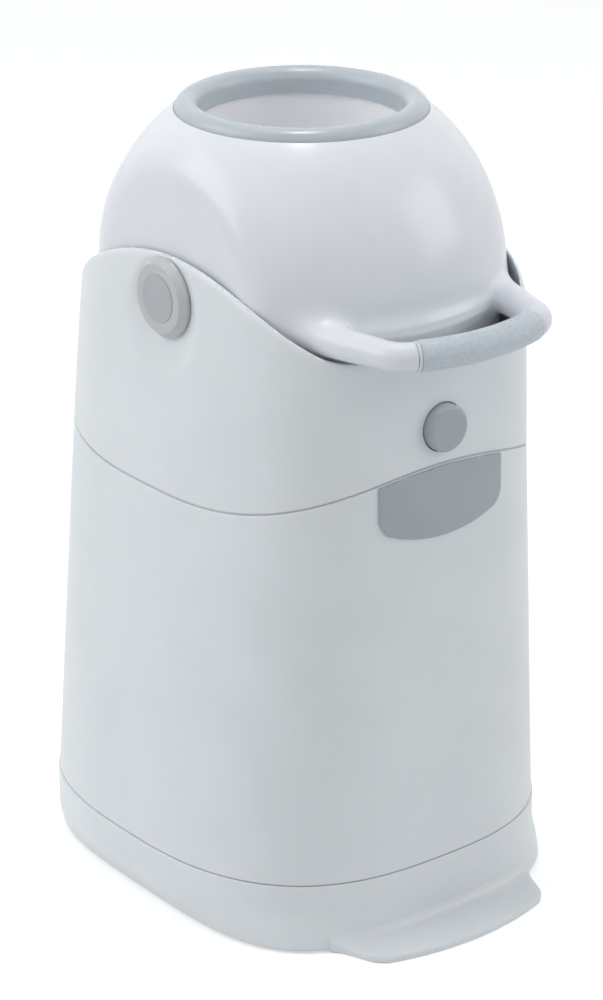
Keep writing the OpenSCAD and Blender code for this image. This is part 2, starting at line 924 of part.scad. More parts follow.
module arm(side)
    mirror([side > 0 ? 0 : 1, 0, 0])
        translate([elbow_x, elbow_y, 0]) {
            rotate([0, 0, bow_angle - 90])
                rotate_extrude(angle = arm_angle - bow_angle)
                    translate([elbow_r, 0])
                        circle(r = arm_r);
            translate([elbow_r * sin(arm_angle), -elbow_r * cos(arm_angle), 0])
                rotate([0, 0, arm_angle])
                    translate([-over, 0, 0])
                        rotate([0, 90, 0])
                            cylinder(h = arm_len, r1 = arm_r - fit, r2 = arm_root_r);
        }

module handle_bail()
    color("#eceeef")
        placed()
            translate([0, 0, pivot_z])
                difference() {
                    translate([0, 0, -handle_drop])
                        union() {
                            arm(-1);
                            arm(1);
                            bow(rod_r, -bow_angle - over, bow_angle + over);
                            intersection() {
                                translate([0, 0, -brim_t / 2])
                                    cylinder(h = brim_t, r = brim_r);
                                block(-brim_half_w, brim_half_w, -far, 0, -far, far);
                            }
                        }
                    sphere(r = drum_r + fit);
                }

module handle_grip()
    color("#a9b3b9")
        placed()
            translate([0, 0, pivot_z - handle_drop])
                difference() {
                    bow(grip_r, -grip_angle, grip_angle);
                    bow(rod_r + fit, -bow_angle, bow_angle);
                }

module grip_ring(side)
    color("#eceeef")
        placed()
            translate([0, 0, pivot_z - handle_drop])
                mirror([side > 0 ? 0 : 1, 0, 0])
                    difference() {
                        bow(arm_r + 2 * fit, grip_angle + fit, grip_angle + fit + grip_ring_angle);
                        bow(rod_r + fit, grip_angle - over, bow_angle);
                    }

module grip_ring_left() grip_ring(-1);
module grip_ring_right() grip_ring(1);

// Axle and hub cap on one side
module axle(side)
    color("#c3c9cc")
        placed()
            translate([0, 0, pivot_z])
                mirror([side > 0 ? 0 : 1, 0, 0])
                    union() {
                        rod_x(drum_flat + fit, drum_flat + fit + axle_flange_t, axle_flange_r);
                        rod_x(drum_flat + fit, hub_face - button_wall, axle_r);
                    }

module axle_left() axle(-1);
module axle_right() axle(1);

module hub_cap(side)
    color("#aeb4b7")
        placed()
            translate([0, 0, pivot_z])
                mirror([side > 0 ? 0 : 1, 0, 0])
                    translate([hub_back, 0, 0])
                        rotate([0, 90, 0])
                            difference() {
                                union() {
                                    cylinder(h = hub_t / 3, r = hub_r);
                                    translate([0, 0, hub_t / 3])
                                        cylinder(h = 2 * hub_t / 3, r1 = hub_r, r2 = hub_face_r);
                                }
                                translate([0, 0, -over])
                                    cylinder(h = hub_t - button_wall + over + fit, r = axle_r + fit);
                                translate([0, 0, hub_t - disc_t / 2])
                                    cylinder(h = disc_t, r = disc_r + fit);
                            }

module hub_cap_left() hub_cap(-1);
module hub_cap_right() hub_cap(1);

module hub_disc(side)
    color("#8d9096")
        placed()
            translate([0, 0, pivot_z])
                mirror([side > 0 ? 0 : 1, 0, 0])
                    rod_x(hub_face - disc_t / 2 + fit, hub_face + disc_t / 2, disc_r);

module hub_disc_left() hub_disc(-1);
module hub_disc_right() hub_disc(1);

// Piston that slides in the chamber tube
module piston_body()
    color("#dfe3e8")
        placed()
            translate([0, 0, pivot_z + piston_low + piston_end_t + fit])
                difference() {
                    cylinder(h = piston_len - 2 * piston_end_t - 2 * fit, r = piston_r);
                    translate([0, 0, -over])
                        cylinder(h = piston_len, r = piston_r - piston_wall);
                    for (end = [seal_h, piston_len - 2 * piston_end_t - 2 * fit - 2 * seal_h])
                        translate([0, 0, end])
                            difference() {
                                cylinder(h = seal_h, r = piston_r + over);
                                translate([0, 0, -over])
                                    cylinder(h = seal_h + 2 * over, r = piston_r - over);
                            }
                }

module piston_cap(side)
    color("#e3e6ec")
        placed()
            translate([0, 0, pivot_z + (side > 0 ? piston_high : piston_low)])
                mirror([0, 0, side > 0 ? 0 : 1])
                    difference() {
                        union() {
                            translate([0, 0, -piston_end_t])
                                cylinder(h = piston_end_t, r = piston_r - fit);
                            cylinder(h = piston_step_h, r = piston_step_r);
                        }
                        translate([0, 0, -far + piston_step_h - piston_end_t])
                            cylinder(h = far, r = piston_step_r - piston_end_t);
                    }

module piston_cap_top() piston_cap(1);
module piston_cap_bottom() piston_cap(-1);

module piston_seal(offset_z)
    color("#8b949a")
        placed()
            translate([0, 0, pivot_z + piston_low + piston_end_t + fit + offset_z + fit])
                difference() {
                    cylinder(h = seal_h - 2 * fit, r = tube_bore_r - seal_gap);
                    translate([0, 0, -over])
                        cylinder(h = seal_h + 2 * over, r = piston_r - over + fit);
                }

module piston_seal_bottom() piston_seal(seal_h);
module piston_seal_top() piston_seal(piston_len - 2 * piston_end_t - 2 * fit - 2 * seal_h);

module ballast()
    color("#777f84")
        placed()
            translate([0, 0, pivot_z + piston_low - piston_step_h + piston_end_t + fit])
                cylinder(h = ballast_t, r = ballast_r);

tub_shell();
base_pan();
seam_collar();
toe_plate();
pad_front_left();
pad_front_right();
pad_rear_left();
pad_rear_right();
latch_panel();
latch_keeper();
rim_ledge();
tub_hinge_left();
tub_hinge_right();
hinge_pin();
pin_cap_left();
pin_cap_right();
bag_ring();
bag_tab_left();
bag_tab_right();
head_shell();
head_deck();
head_hinge();
bushing_left();
bushing_right();
button_guide();
latch_bracket_left();
latch_bracket_right();
latch_pin();
latch_lever();
button_cap();
button_stem();
button_spring();
drum_upper();
drum_lower();
chamber_tube();
ring_top();
ring_bottom();
handle_bail();
handle_grip();
grip_ring_left();
grip_ring_right();
axle_left();
axle_right();
hub_cap_left();
hub_cap_right();
hub_disc_left();
hub_disc_right();
piston_body();
piston_cap_top();
piston_cap_bottom();
piston_seal_top();
piston_seal_bottom();
ballast();
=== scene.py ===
"""Nappy bin with a turning drum: its look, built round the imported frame.

Sizes are in millimetres and points are taken in the drum's own frame, where the drum's
axis is the X axis at y = 0. Meshes are written in metres in the frame of the bin.
"""

import logging
import math
from collections.abc import Callable, Sequence
from dataclasses import dataclass, field
from enum import Enum

import bmesh
import bpy
import numpy as np
from bpy.types import Material, Node, NodeSocket, NodeTree, Object
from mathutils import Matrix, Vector


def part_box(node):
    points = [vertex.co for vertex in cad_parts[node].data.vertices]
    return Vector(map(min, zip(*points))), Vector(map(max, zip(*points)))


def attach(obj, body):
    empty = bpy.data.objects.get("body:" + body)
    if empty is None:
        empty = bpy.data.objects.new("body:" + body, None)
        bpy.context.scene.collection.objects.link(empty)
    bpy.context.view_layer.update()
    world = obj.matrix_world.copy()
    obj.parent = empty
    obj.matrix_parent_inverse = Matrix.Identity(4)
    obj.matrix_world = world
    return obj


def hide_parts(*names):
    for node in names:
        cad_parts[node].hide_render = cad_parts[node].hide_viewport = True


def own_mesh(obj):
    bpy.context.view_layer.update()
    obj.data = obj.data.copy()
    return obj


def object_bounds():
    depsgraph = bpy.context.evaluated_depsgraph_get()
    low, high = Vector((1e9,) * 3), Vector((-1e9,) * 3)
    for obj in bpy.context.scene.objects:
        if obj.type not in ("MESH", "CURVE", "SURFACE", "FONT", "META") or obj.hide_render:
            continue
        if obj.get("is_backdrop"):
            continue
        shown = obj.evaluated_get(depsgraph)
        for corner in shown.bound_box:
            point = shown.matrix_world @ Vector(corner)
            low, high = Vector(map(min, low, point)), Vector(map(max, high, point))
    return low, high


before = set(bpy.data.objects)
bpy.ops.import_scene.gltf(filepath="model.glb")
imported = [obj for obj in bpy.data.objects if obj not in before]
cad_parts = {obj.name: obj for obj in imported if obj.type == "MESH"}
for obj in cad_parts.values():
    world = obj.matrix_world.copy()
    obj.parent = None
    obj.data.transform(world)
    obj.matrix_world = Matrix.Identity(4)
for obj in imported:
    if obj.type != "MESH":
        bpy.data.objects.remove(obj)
CAD_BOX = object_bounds()

LOG = logging.getLogger("nappy_bin")
MM = 0.001
Points = np.ndarray
Source = Node | NodeSocket
Distance = Callable[[Points], np.ndarray]

# Node types and settings that the trees use again and again
MATH, VECTOR, COMBINE = "ShaderNodeMath", "ShaderNodeVectorMath", "ShaderNodeCombineXYZ"
NOISE, RANGE, MIX, BUMP = "ShaderNodeTexNoise", "ShaderNodeMapRange", "ShaderNodeMix", "ShaderNodeBump"
OPERATIONS = "ADD SUBTRACT MULTIPLY DIVIDE SQRT MAXIMUM MINIMUM SINE COSINE GREATER_THAN MODULO"
ADD, SUBTRACT, MULTIPLY, DIVIDE, ROOT, MAXIMUM, MINIMUM, SINE, COSINE, GREATER, MODULO = (
    {"operation": name} for name in OPERATIONS.split()
)
FLOAT, COLOUR = {"data_type": "FLOAT"}, {"data_type": "RGBA"}


class Body(Enum):
    """Moving bodies of the bin."""

    TUB = "tub"
    BAG_RING = "bag_ring"
    HEAD = "head"
    LATCH = "latch"
    BUTTON = "button"
    DRUM = "drum"
    PISTON = "piston"


class Side(Enum):
    """Left and right of the bin, as signs of X."""

    LEFT = -1
    RIGHT = 1


class Axis(Enum):
    """Axis that a turned profile goes round, as the order of its (r cos, r sin, h) columns."""

    X = (2, 0, 1)
    Y = (1, 2, 0)
    Z = (0, 1, 2)


def linear(code: str) -> tuple[float, float, float, float]:
    """Turn an sRGB hex value into a linear colour.

    Args:
        code: six hex digits after a hash sign.

    Returns:
        Linear red, green, blue and full alpha.
    """
    parts = [int(code[i : i + 2], 16) / 255 for i in (1, 3, 5)]
    low = [c / 12.92 if c <= 0.04045 else ((c + 0.055) / 1.055) ** 2.4 for c in parts]
    return (low[0], low[1], low[2], 1.0)


def add_node(
    tree: NodeTree,
    kind: str,
    settings: dict[str, object] | None = None,
    links: dict[str | int, object] | None = None,
) -> Node:
    """Add a node with its settings, and fill or link its inputs.

    Args:
        tree: node tree that gets the node.
        kind: node type.
        settings: attributes of the node.
        links: input name or number, with the value it gets or what feeds it: a socket, or a
            node for its first output.

    Returns:
        The new node.
    """
    node = tree.nodes.new(kind)
    for name, value in (settings or {}).items():
        setattr(node, name, value)
    for name, value in (links or {}).items():
        source = value.outputs[0] if isinstance(value, Node) else value
        if isinstance(source, NodeSocket):
            tree.links.new(source, node.inputs[name])
        else:
            node.inputs[name].default_value = value
    return node


def open_tree(name: str, inputs: dict[str, str]) -> tuple[NodeTree, bpy.types.bpy_prop_collection]:
    """Start a Geometry Nodes tree with named inputs.

    Args:
        name: name of the tree.
        inputs: name of each input with its socket type.

    Returns:
        The tree and the sockets that give its inputs.
    """
    tree = bpy.data.node_groups.new(name, "GeometryNodeTree")
    tree.interface.new_socket("Outline", in_out="INPUT", socket_type="NodeSocketGeometry")
    for label, kind in inputs.items():
        tree.interface.new_socket(label, in_out="INPUT", socket_type=kind)
    tree.interface.new_socket("Piece", in_out="OUTPUT", socket_type="NodeSocketGeometry")
    return tree, add_node(tree, "NodeGroupInput").outputs


def close_tree(tree: NodeTree, shape: Source, finish: Source) -> None:
    """End a Geometry Nodes tree with real geometry that has its material.

    Args:
        tree: the tree.
        shape: node that gives the geometry.
        finish: socket that gives the material.
    """
    real = add_node(tree, "GeometryNodeRealizeInstances", links={"Geometry": shape})
    done = add_node(tree, "GeometryNodeSetMaterial", links={"Geometry": real, "Material": finish})
    add_node(tree, "NodeGroupOutput", links={"Piece": done})


def sleeve_tree() -> NodeTree:
    """Return the tree of a round sleeve that follows an arc and has rounded ends."""
    size = "NodeSocketFloat"
    tree, given = open_tree(
        "sleeve_along_arc",
        {
            "Bow Radius": size, "Start": size, "Sweep": size, "Radius": size, "End Round": size,
            "Centre": "NodeSocketVector", "Rows": "NodeSocketInt", "Sides": "NodeSocketInt",
            "Finish": "NodeSocketMaterial",
        },
    )
    arc = add_node(
        tree, "GeometryNodeCurveArc", {"mode": "RADIUS"},
        {"Resolution": given["Rows"], "Radius": given["Bow Radius"], "Start Angle": given["Start"],
         "Sweep Angle": given["Sweep"]},
    )
    along = add_node(tree, "GeometryNodeSplineParameter").outputs["Length"]
    whole = add_node(tree, "GeometryNodeSplineLength").outputs["Length"]
    back = add_node(tree, MATH, SUBTRACT, {0: whole, 1: along})
    near = add_node(tree, MATH, MINIMUM, {0: along, 1: back})
    share = add_node(
        tree, MATH, {"operation": "DIVIDE", "use_clamp": True}, {0: near, 1: given["End Round"]}
    )
    rest = add_node(tree, MATH, SUBTRACT, {0: 1.0, 1: share})
    square = add_node(tree, MATH, MULTIPLY, {0: rest, 1: rest})
    left = add_node(tree, MATH, {"operation": "SUBTRACT", "use_clamp": True}, {0: 1.0, 1: square})
    root = add_node(tree, MATH, ROOT, {0: left})
    fall = add_node(tree, MATH, SUBTRACT, {0: 1.0, 1: root})
    lost = add_node(tree, MATH, MULTIPLY, {0: fall, 1: given["End Round"]})
    radius = add_node(tree, MATH, SUBTRACT, {0: given["Radius"], 1: lost})
    circle = add_node(
        tree, "GeometryNodeCurvePrimitiveCircle", {"mode": "RADIUS"},
        {"Resolution": given["Sides"], "Radius": 1.0},
    )
    swept = add_node(
        tree, "GeometryNodeCurveToMesh",
        links={"Curve": arc, "Profile Curve": circle, "Scale": radius,
               "Fill Caps": True},
    )
    moved = add_node(
        tree, "GeometryNodeTransform", links={"Geometry": swept, "Translation": given["Centre"]}
    )
    close_tree(tree, moved, given["Finish"])
    return tree


def frame_tree() -> NodeTree:
    """Return the tree of a frame with a rounded rectangular section that follows an outline."""
    size = "NodeSocketFloat"
    tree, given = open_tree(
        "frame_along_outline",
        {"Width": size, "Height": size, "Round": size, "Finish": "NodeSocketMaterial"},
    )
    line = add_node(tree, "GeometryNodeMeshToCurve", links={"Mesh": given["Outline"]})
    level = add_node(tree, "GeometryNodeSetCurveNormal", {"mode": "Z_UP"}, {"Curve": line})
    section = add_node(
        tree, "GeometryNodeCurvePrimitiveQuadrilateral", {"mode": "RECTANGLE"},
        {"Width": given["Width"], "Height": given["Height"]},
    )
    soft = add_node(
        tree, "GeometryNodeFilletCurve", {"mode": "POLY"},
        {"Curve": section, "Radius": given["Round"], "Count": 5},
    )
    swept = add_node(tree, "GeometryNodeCurveToMesh", links={"Curve": level, "Profile Curve": soft})
    close_tree(tree, swept, given["Finish"])
    return tree


def drum_radius(tree: NodeTree, given: bpy.types.bpy_prop_collection, way: Source) -> Source:
    """Add the rule of the drum's outside: a ball, two flat sides and the round between them.

    Args:
        tree: tree that gets the rule.
        given: sockets of the drum's sizes.
        way: node that gives the direction from the drum's centre.

    Returns:
        Node that gives the radius in that direction.
    """
    part = add_node(tree, "ShaderNodeSeparateXYZ", links={0: way})
    cos = add_node(tree, MATH, {"operation": "ABSOLUTE"}, {0: part.outputs["X"]})
    square = add_node(tree, MATH, MULTIPLY, {0: cos, 1: cos})
    rest = add_node(tree, MATH, {"operation": "SUBTRACT", "use_clamp": True}, {0: 1.0, 1: square})
    sin = add_node(tree, MATH, ROOT, {0: rest})
    side = add_node(tree, MATH, MULTIPLY, {0: sin, 1: given["Round Radius"]})
    reach = add_node(tree, MATH, {"operation": "MULTIPLY_ADD"}, {0: cos, 1: given["Round Place"], 2: side})
    power = add_node(tree, MATH, MULTIPLY, {0: reach, 1: reach})
    under = add_node(tree, MATH, SUBTRACT, {0: power, 1: given["Round Offset"]})
    above = add_node(tree, MATH, MAXIMUM, {0: under, 1: 0.0})
    root = add_node(tree, MATH, ROOT, {0: above})
    edge = add_node(tree, MATH, ADD, {0: reach, 1: root})
    safe = add_node(tree, MATH, MAXIMUM, {0: cos, 1: 0.05})
    flat = add_node(tree, MATH, DIVIDE, {0: given["Flat"], 1: safe})
    on_edge = add_node(tree, MATH, GREATER, {0: cos, 1: given["Round Cosine"]})
    on_flat = add_node(tree, MATH, GREATER, {0: cos, 1: given["Flat Cosine"]})
    outer = add_node(tree, MIX, FLOAT, {"Factor": on_edge, "A": given["Radius"], "B": edge})
    return add_node(tree, MIX, FLOAT, {"Factor": on_flat, "A": outer, "B": flat})


def drum_tree() -> NodeTree:
    """Return the tree of one half shell of the drum, from its opening to its joint."""
    size, number = "NodeSocketFloat", "NodeSocketInt"
    tree, given = open_tree(
        "drum_half_by_rule",
        {
            "Radius": size, "Flat": size, "Round Place": size, "Round Radius": size, "Round Offset": size,
            "Round Cosine": size, "Flat Cosine": size, "Wall": size, "Opening Angle": size, "Joint": size,
            "Side": size, "Centre": "NodeSocketVector", "Rows": number, "Columns": number,
            "Finish": "NodeSocketMaterial",
        },
    )
    rows = add_node(tree, MATH, ADD, {0: given["Rows"], 1: 1.0})
    columns = add_node(tree, MATH, ADD, {0: given["Columns"], 1: 1.0})
    grid = add_node(tree, "GeometryNodeMeshGrid", links={"Vertices X": rows, "Vertices Y": columns})
    index = add_node(tree, "GeometryNodeInputIndex")
    ratio = add_node(tree, MATH, DIVIDE, {0: index, 1: columns})
    line = add_node(tree, MATH, {"operation": "FLOOR"}, {0: ratio})
    row = add_node(tree, MATH, MODULO, {0: line, 1: given["Rows"]})
    column = add_node(tree, MATH, MODULO, {0: index, 1: columns})
    half = add_node(tree, MATH, MULTIPLY, {0: given["Rows"], 1: 0.5})
    last = add_node(tree, MATH, SUBTRACT, {0: half, 1: 1.0})
    outside = add_node(tree, MATH, {"operation": "LESS_THAN"}, {0: row, 1: half})
    back = add_node(tree, MATH, SUBTRACT, {0: given["Rows"], 1: row})
    home = add_node(tree, MATH, SUBTRACT, {0: back, 1: 1.0})
    step = add_node(tree, MIX, FLOAT, {"Factor": outside, "A": home, "B": row})
    share = add_node(tree, MATH, DIVIDE, {0: step, 1: last})
    depth = add_node(tree, MIX, FLOAT, {"Factor": outside, "A": given["Wall"], "B": 0.0})
    turn = add_node(tree, MATH, DIVIDE, {0: column, 1: given["Columns"]})
    phi = add_node(tree, MATH, MULTIPLY, {0: turn, 1: 2 * math.pi})
    cos_phi = add_node(tree, MATH, COSINE, {0: phi})
    sin_phi = add_node(tree, MATH, SINE, {0: phi})
    level = add_node(tree, COMBINE, links={"X": cos_phi, "Y": sin_phi})
    girth = add_node(tree, MATH, SUBTRACT, {0: drum_radius(tree, given, level), 1: depth})
    low = add_node(tree, MATH, DIVIDE, {0: given["Joint"], 1: girth})
    end = add_node(tree, MATH, {"operation": "ARCCOSINE"}, {0: low})
    span = add_node(tree, MATH, SUBTRACT, {0: end, 1: given["Opening Angle"]})
    theta = add_node(
        tree, MATH, {"operation": "MULTIPLY_ADD"}, {0: span, 1: share, 2: given["Opening Angle"]}
    )
    sin = add_node(tree, MATH, SINE, {0: theta})
    cos = add_node(tree, MATH, COSINE, {0: theta})
    flat_way = add_node(tree, VECTOR, {"operation": "SCALE"}, {0: level, "Scale": sin})
    up = add_node(tree, COMBINE, links={"Z": cos})
    way = add_node(tree, VECTOR, ADD, {0: flat_way, 1: up})
    radius = add_node(tree, MATH, SUBTRACT, {0: drum_radius(tree, given, way), 1: depth})
    point = add_node(tree, VECTOR, {"operation": "SCALE"}, {0: way, "Scale": radius})
    mirror = add_node(tree, COMBINE, links={"X": 1.0, "Y": 1.0, "Z": given["Side"]})
    facing = add_node(tree, VECTOR, MULTIPLY, {0: point, 1: mirror})
    placed = add_node(tree, VECTOR, ADD, {0: facing, 1: given["Centre"]})
    shaped = add_node(
        tree, "GeometryNodeSetPosition", links={"Geometry": grid.outputs["Mesh"], "Position": placed}
    )
    merged = add_node(tree, "GeometryNodeMergeByDistance", links={"Geometry": shaped, "Distance": 2e-6})
    close_tree(tree, merged, given["Finish"])
    return tree


@dataclass(frozen=True)
class Finish:
    """Base of all finishes: a name, the record's slot and the numbers of its shader."""

    name: str
    slot: str
    colour: str
    shade: str
    roughness: float
    ior: float = 1.5
    metallic: float = 0.0

    def shader(self) -> tuple[Material, Node, NodeSocket]:
        """Start the material.

        Returns:
            The material, its shader node and the Object coordinate's socket.
        """
        material = bpy.data.materials.new(self.name)
        material.use_nodes = True
        tree = material.node_tree
        tree.nodes.clear()
        shader = add_node(
            tree,
            "ShaderNodeBsdfPrincipled",
            links={
                "Base Color": linear(self.colour),
                "Roughness": self.roughness,
                "IOR": self.ior,
                "Metallic": self.metallic,
            },
        )
        add_node(tree, "ShaderNodeOutputMaterial", links={"Surface": shader})
        place = add_node(tree, "ShaderNodeTexCoord")
        return material, shader, place.outputs["Object"]

    def joined(self, material: Material, shader: Node, *looks: Node) -> Material:
        """Link the colour, the roughness and the relief to the shader.

        Args:
            material: the material.
            shader: its shader node.
            looks: nodes that give the colour, the roughness and the normal.

        Returns:
            The same material.
        """
        base, rough, bump = looks
        ends = ((base, "Result", "Base Color"), (rough, 0, "Roughness"), (bump, 0, "Normal"))
        for node, port, label in ends:
            material.node_tree.links.new(node.outputs[port], shader.inputs[label])
        return material


@dataclass(frozen=True)
class MouldedPolypropylene(Finish):
    """Injection-moulded polypropylene from a fine-blasted tool.

    The eye sees an even, slightly milky satin skin, faint cloudy flow marks a few
    centimetres long, a very fine grain and a few hair-thin rubbed marks.
    """

    cloud_mm: float = 70.0
    grain_mm: float = 1.1
    grain_depth: float = 0.012
    sink_mm: float = 45.0
    sink_depth: float = 0.08
    rub: float = 0.5

    def build(self) -> Material:
        """Make the material."""
        material, shader, place = self.shader()
        tree = material.node_tree
        cloud = add_node(
            tree, NOISE,
            links={"Vector": place, "Scale": 1 / (self.cloud_mm * MM), "Detail": 3.0, "Roughness": 0.55},
        )
        tone = add_node(
            tree, RANGE,
            {"interpolation_type": "SMOOTHSTEP"}, {"Value": cloud, "From Min": 0.3, "From Max": 0.72},
        )
        base = add_node(
            tree, MIX, COLOUR, {"Factor": tone, "A": linear(self.colour), "B": linear(self.shade)}
        )
        # Rubbed marks: thin streaks from a noise stretched along the height
        stretch = add_node(
            tree, "ShaderNodeMapping",
            links={"Vector": place, "Scale": (1.0, 1.0, 0.12), "Rotation": (0.3, 0.2, 0)},
        )
        streak = add_node(tree, NOISE, links={"Vector": stretch, "Scale": 420.0, "Detail": 2.0})
        marks = add_node(
            tree, RANGE, links={"Value": streak, "From Min": 0.66, "From Max": 0.8, "To Max": self.rub}
        )
        worn = add_node(
            tree, RANGE,
            links={"Value": cloud, "To Min": self.roughness - 0.035, "To Max": self.roughness + 0.035},
        )
        rough = add_node(tree, MATH, {"operation": "MULTIPLY_ADD"}, {0: marks, 1: 0.16, 2: worn})
        grain = add_node(
            tree, NOISE, links={"Vector": place, "Scale": 1 / (self.grain_mm * MM), "Detail": 2.0}
        )
        sink = add_node(
            tree, NOISE, links={"Vector": place, "Scale": 1 / (self.sink_mm * MM), "Detail": 1.0}
        )
        wave = add_node(
            tree, BUMP, links={"Height": sink, "Distance": self.sink_depth * MM, "Strength": 1.0}
        )
        skin = add_node(
            tree, BUMP,
            links={"Height": grain, "Distance": self.grain_depth * MM, "Strength": 1.0, "Normal": wave},
        )
        return self.joined(material, shader, base, rough, skin)


@dataclass(frozen=True)
class Elastomer(Finish):
    """Thermoplastic elastomer or rubber, moulded with an eroded skin.

    The eye sees a soft matt surface, small darker and lighter specks and tiny pits.
    """

    speck_mm: float = 2.6
    pit_mm: float = 1.3
    pit_depth: float = 0.11
    speck_share: float = 0.55

    def build(self) -> Material:
        """Make the material."""
        material, shader, place = self.shader()
        tree = material.node_tree
        specks = add_node(
            tree, NOISE,
            links={"Vector": place, "Scale": 1 / (self.speck_mm * MM), "Detail": 4.0, "Roughness": 0.7},
        )
        tone = add_node(
            tree,
            RANGE,
            links={
                "Value": specks, "From Min": self.speck_share - 0.12, "From Max": self.speck_share + 0.12
            },
        )
        base = add_node(
            tree, MIX, COLOUR, {"Factor": tone, "A": linear(self.colour), "B": linear(self.shade)}
        )
        pits = add_node(
            tree, "ShaderNodeTexVoronoi",
            links={"Vector": place, "Scale": 1 / (self.pit_mm * MM), "Randomness": 1.0},
        )
        bump = add_node(
            tree, BUMP, links={"Height": pits, "Distance": self.pit_depth * MM, "Strength": 0.8}
        )
        rough = add_node(
            tree, RANGE,
            links={"Value": specks, "To Min": self.roughness - 0.08, "To Max": self.roughness + 0.08},
        )
        return self.joined(material, shader, base, rough, bump)


@dataclass(frozen=True)
class DrawnMetal(Finish):
    """Drawn or turned metal.

    The eye sees fine lines along the wire, which spread the highlight, and dull spots.
    """

    line_mm: float = 0.5
    line_depth: float = 0.02
    along: tuple[float, float, float] = (0.03, 1.0, 1.0)

    def build(self) -> Material:
        """Make the material."""
        material, shader, place = self.shader()
        tree = material.node_tree
        stretch = add_node(tree, "ShaderNodeMapping", links={"Vector": place, "Scale": self.along})
        lines = add_node(
            tree, NOISE, links={"Vector": stretch, "Scale": 1 / (self.line_mm * MM), "Detail": 3.0}
        )
        spots = add_node(tree, NOISE, links={"Vector": place, "Scale": 160.0, "Detail": 4.0})
        base = add_node(
            tree, MIX, COLOUR, {"Factor": spots, "A": linear(self.colour), "B": linear(self.shade)}
        )
        rough = add_node(
            tree, RANGE,
            links={"Value": spots, "To Min": self.roughness - 0.1, "To Max": self.roughness + 0.15},
        )
        bump = add_node(
            tree, BUMP, links={"Height": lines, "Distance": self.line_depth * MM, "Strength": 0.7}
        )
        return self.joined(material, shader, base, rough, bump)


@dataclass(frozen=True)
class Finishes:
    """All finishes of the bin."""

    shell: MouldedPolypropylene = MouldedPolypropylene(
        "white_polypropylene_satin", "white_pp", "#e1e6ea", "#dde2e6", 0.36, 1.49, sink_depth=0.04
    )
    drum: MouldedPolypropylene = MouldedPolypropylene(
        "white_polypropylene_gloss", "white_gloss", "#e2e6ed", "#dfe3ea", 0.2, 1.49, grain_depth=0.004,
        sink_depth=0.03, rub=0.35,
    )
    grey: MouldedPolypropylene = MouldedPolypropylene(
        "grey_polypropylene_satin", "grey_pp", "#a7b1b6", "#a1abb0", 0.34, 1.49, grain_mm=1.0
    )
    # Painted light: a lighter copy of the grey polypropylene, which is the same grey as the button and
    # panel, lightened for the light that falls on the hub caps.
    hub: MouldedPolypropylene = MouldedPolypropylene(
        "hub_grey_polypropylene_painted_light", "grey_pp", "#bfc3c6", "#babec1", 0.34, 1.49, grain_mm=1.0
    )
    ring: MouldedPolypropylene = MouldedPolypropylene(
        "pale_grey_polypropylene_gloss", "grey_ring", "#b9c2c9", "#b4bdc4", 0.2, 1.49, grain_depth=0.006
    )
    inner: MouldedPolypropylene = MouldedPolypropylene(
        "inner_polypropylene_plain", "inner_pp", "#e9ecf1", "#edeff4", 0.42, 1.49
    )
    # Painted light: a lighter copy of the inner polypropylene, which brightens the chamber tube as if more
    # light reached down the well.
    liner: MouldedPolypropylene = MouldedPolypropylene(
        "liner_polypropylene_painted_light", "inner_pp", "#f9fafc", "#f6f7fa", 0.42, 1.49
    )
    grip: Elastomer = Elastomer("grey_elastomer_grained", "grip_tpe", "#c6d0d7", "#b9c4cc", 0.52, 1.48)
    seal: Elastomer = Elastomer(
        "grey_nitrile_rubber_moulded", "seal_rubber", "#7d868c", "#71797f", 0.55, 1.52, pit_depth=0.04
    )
    pad: Elastomer = Elastomer(
        "grey_rubber_foot_moulded", "pad_rubber", "#8e959a", "#7f868b", 0.66, 1.52, pit_depth=0.06
    )
    acetal: MouldedPolypropylene = MouldedPolypropylene(
        "acetal_bearing_turned", "acetal", "#d5d8d6", "#cdd0ce", 0.3, 1.48, grain_mm=0.9
    )
    steel: DrawnMetal = DrawnMetal("steel_wire_drawn", "steel", "#b9bcc0", "#a6a9ad", 0.32, metallic=1.0)
    iron: DrawnMetal = DrawnMetal(
        "cast_iron_ballast_painted", "ballast_iron", "#6e7478", "#5f6569", 0.6, line_mm=2.0,
        line_depth=0.15, along=(1.0, 1.0, 1.0),
    )
    disc: MouldedPolypropylene = MouldedPolypropylene(
        "grey_lilac_inlay_matt", "disc_grey", "#b7b8bf", "#b1b2b9", 0.5, 1.5, grain_depth=0.03
    )


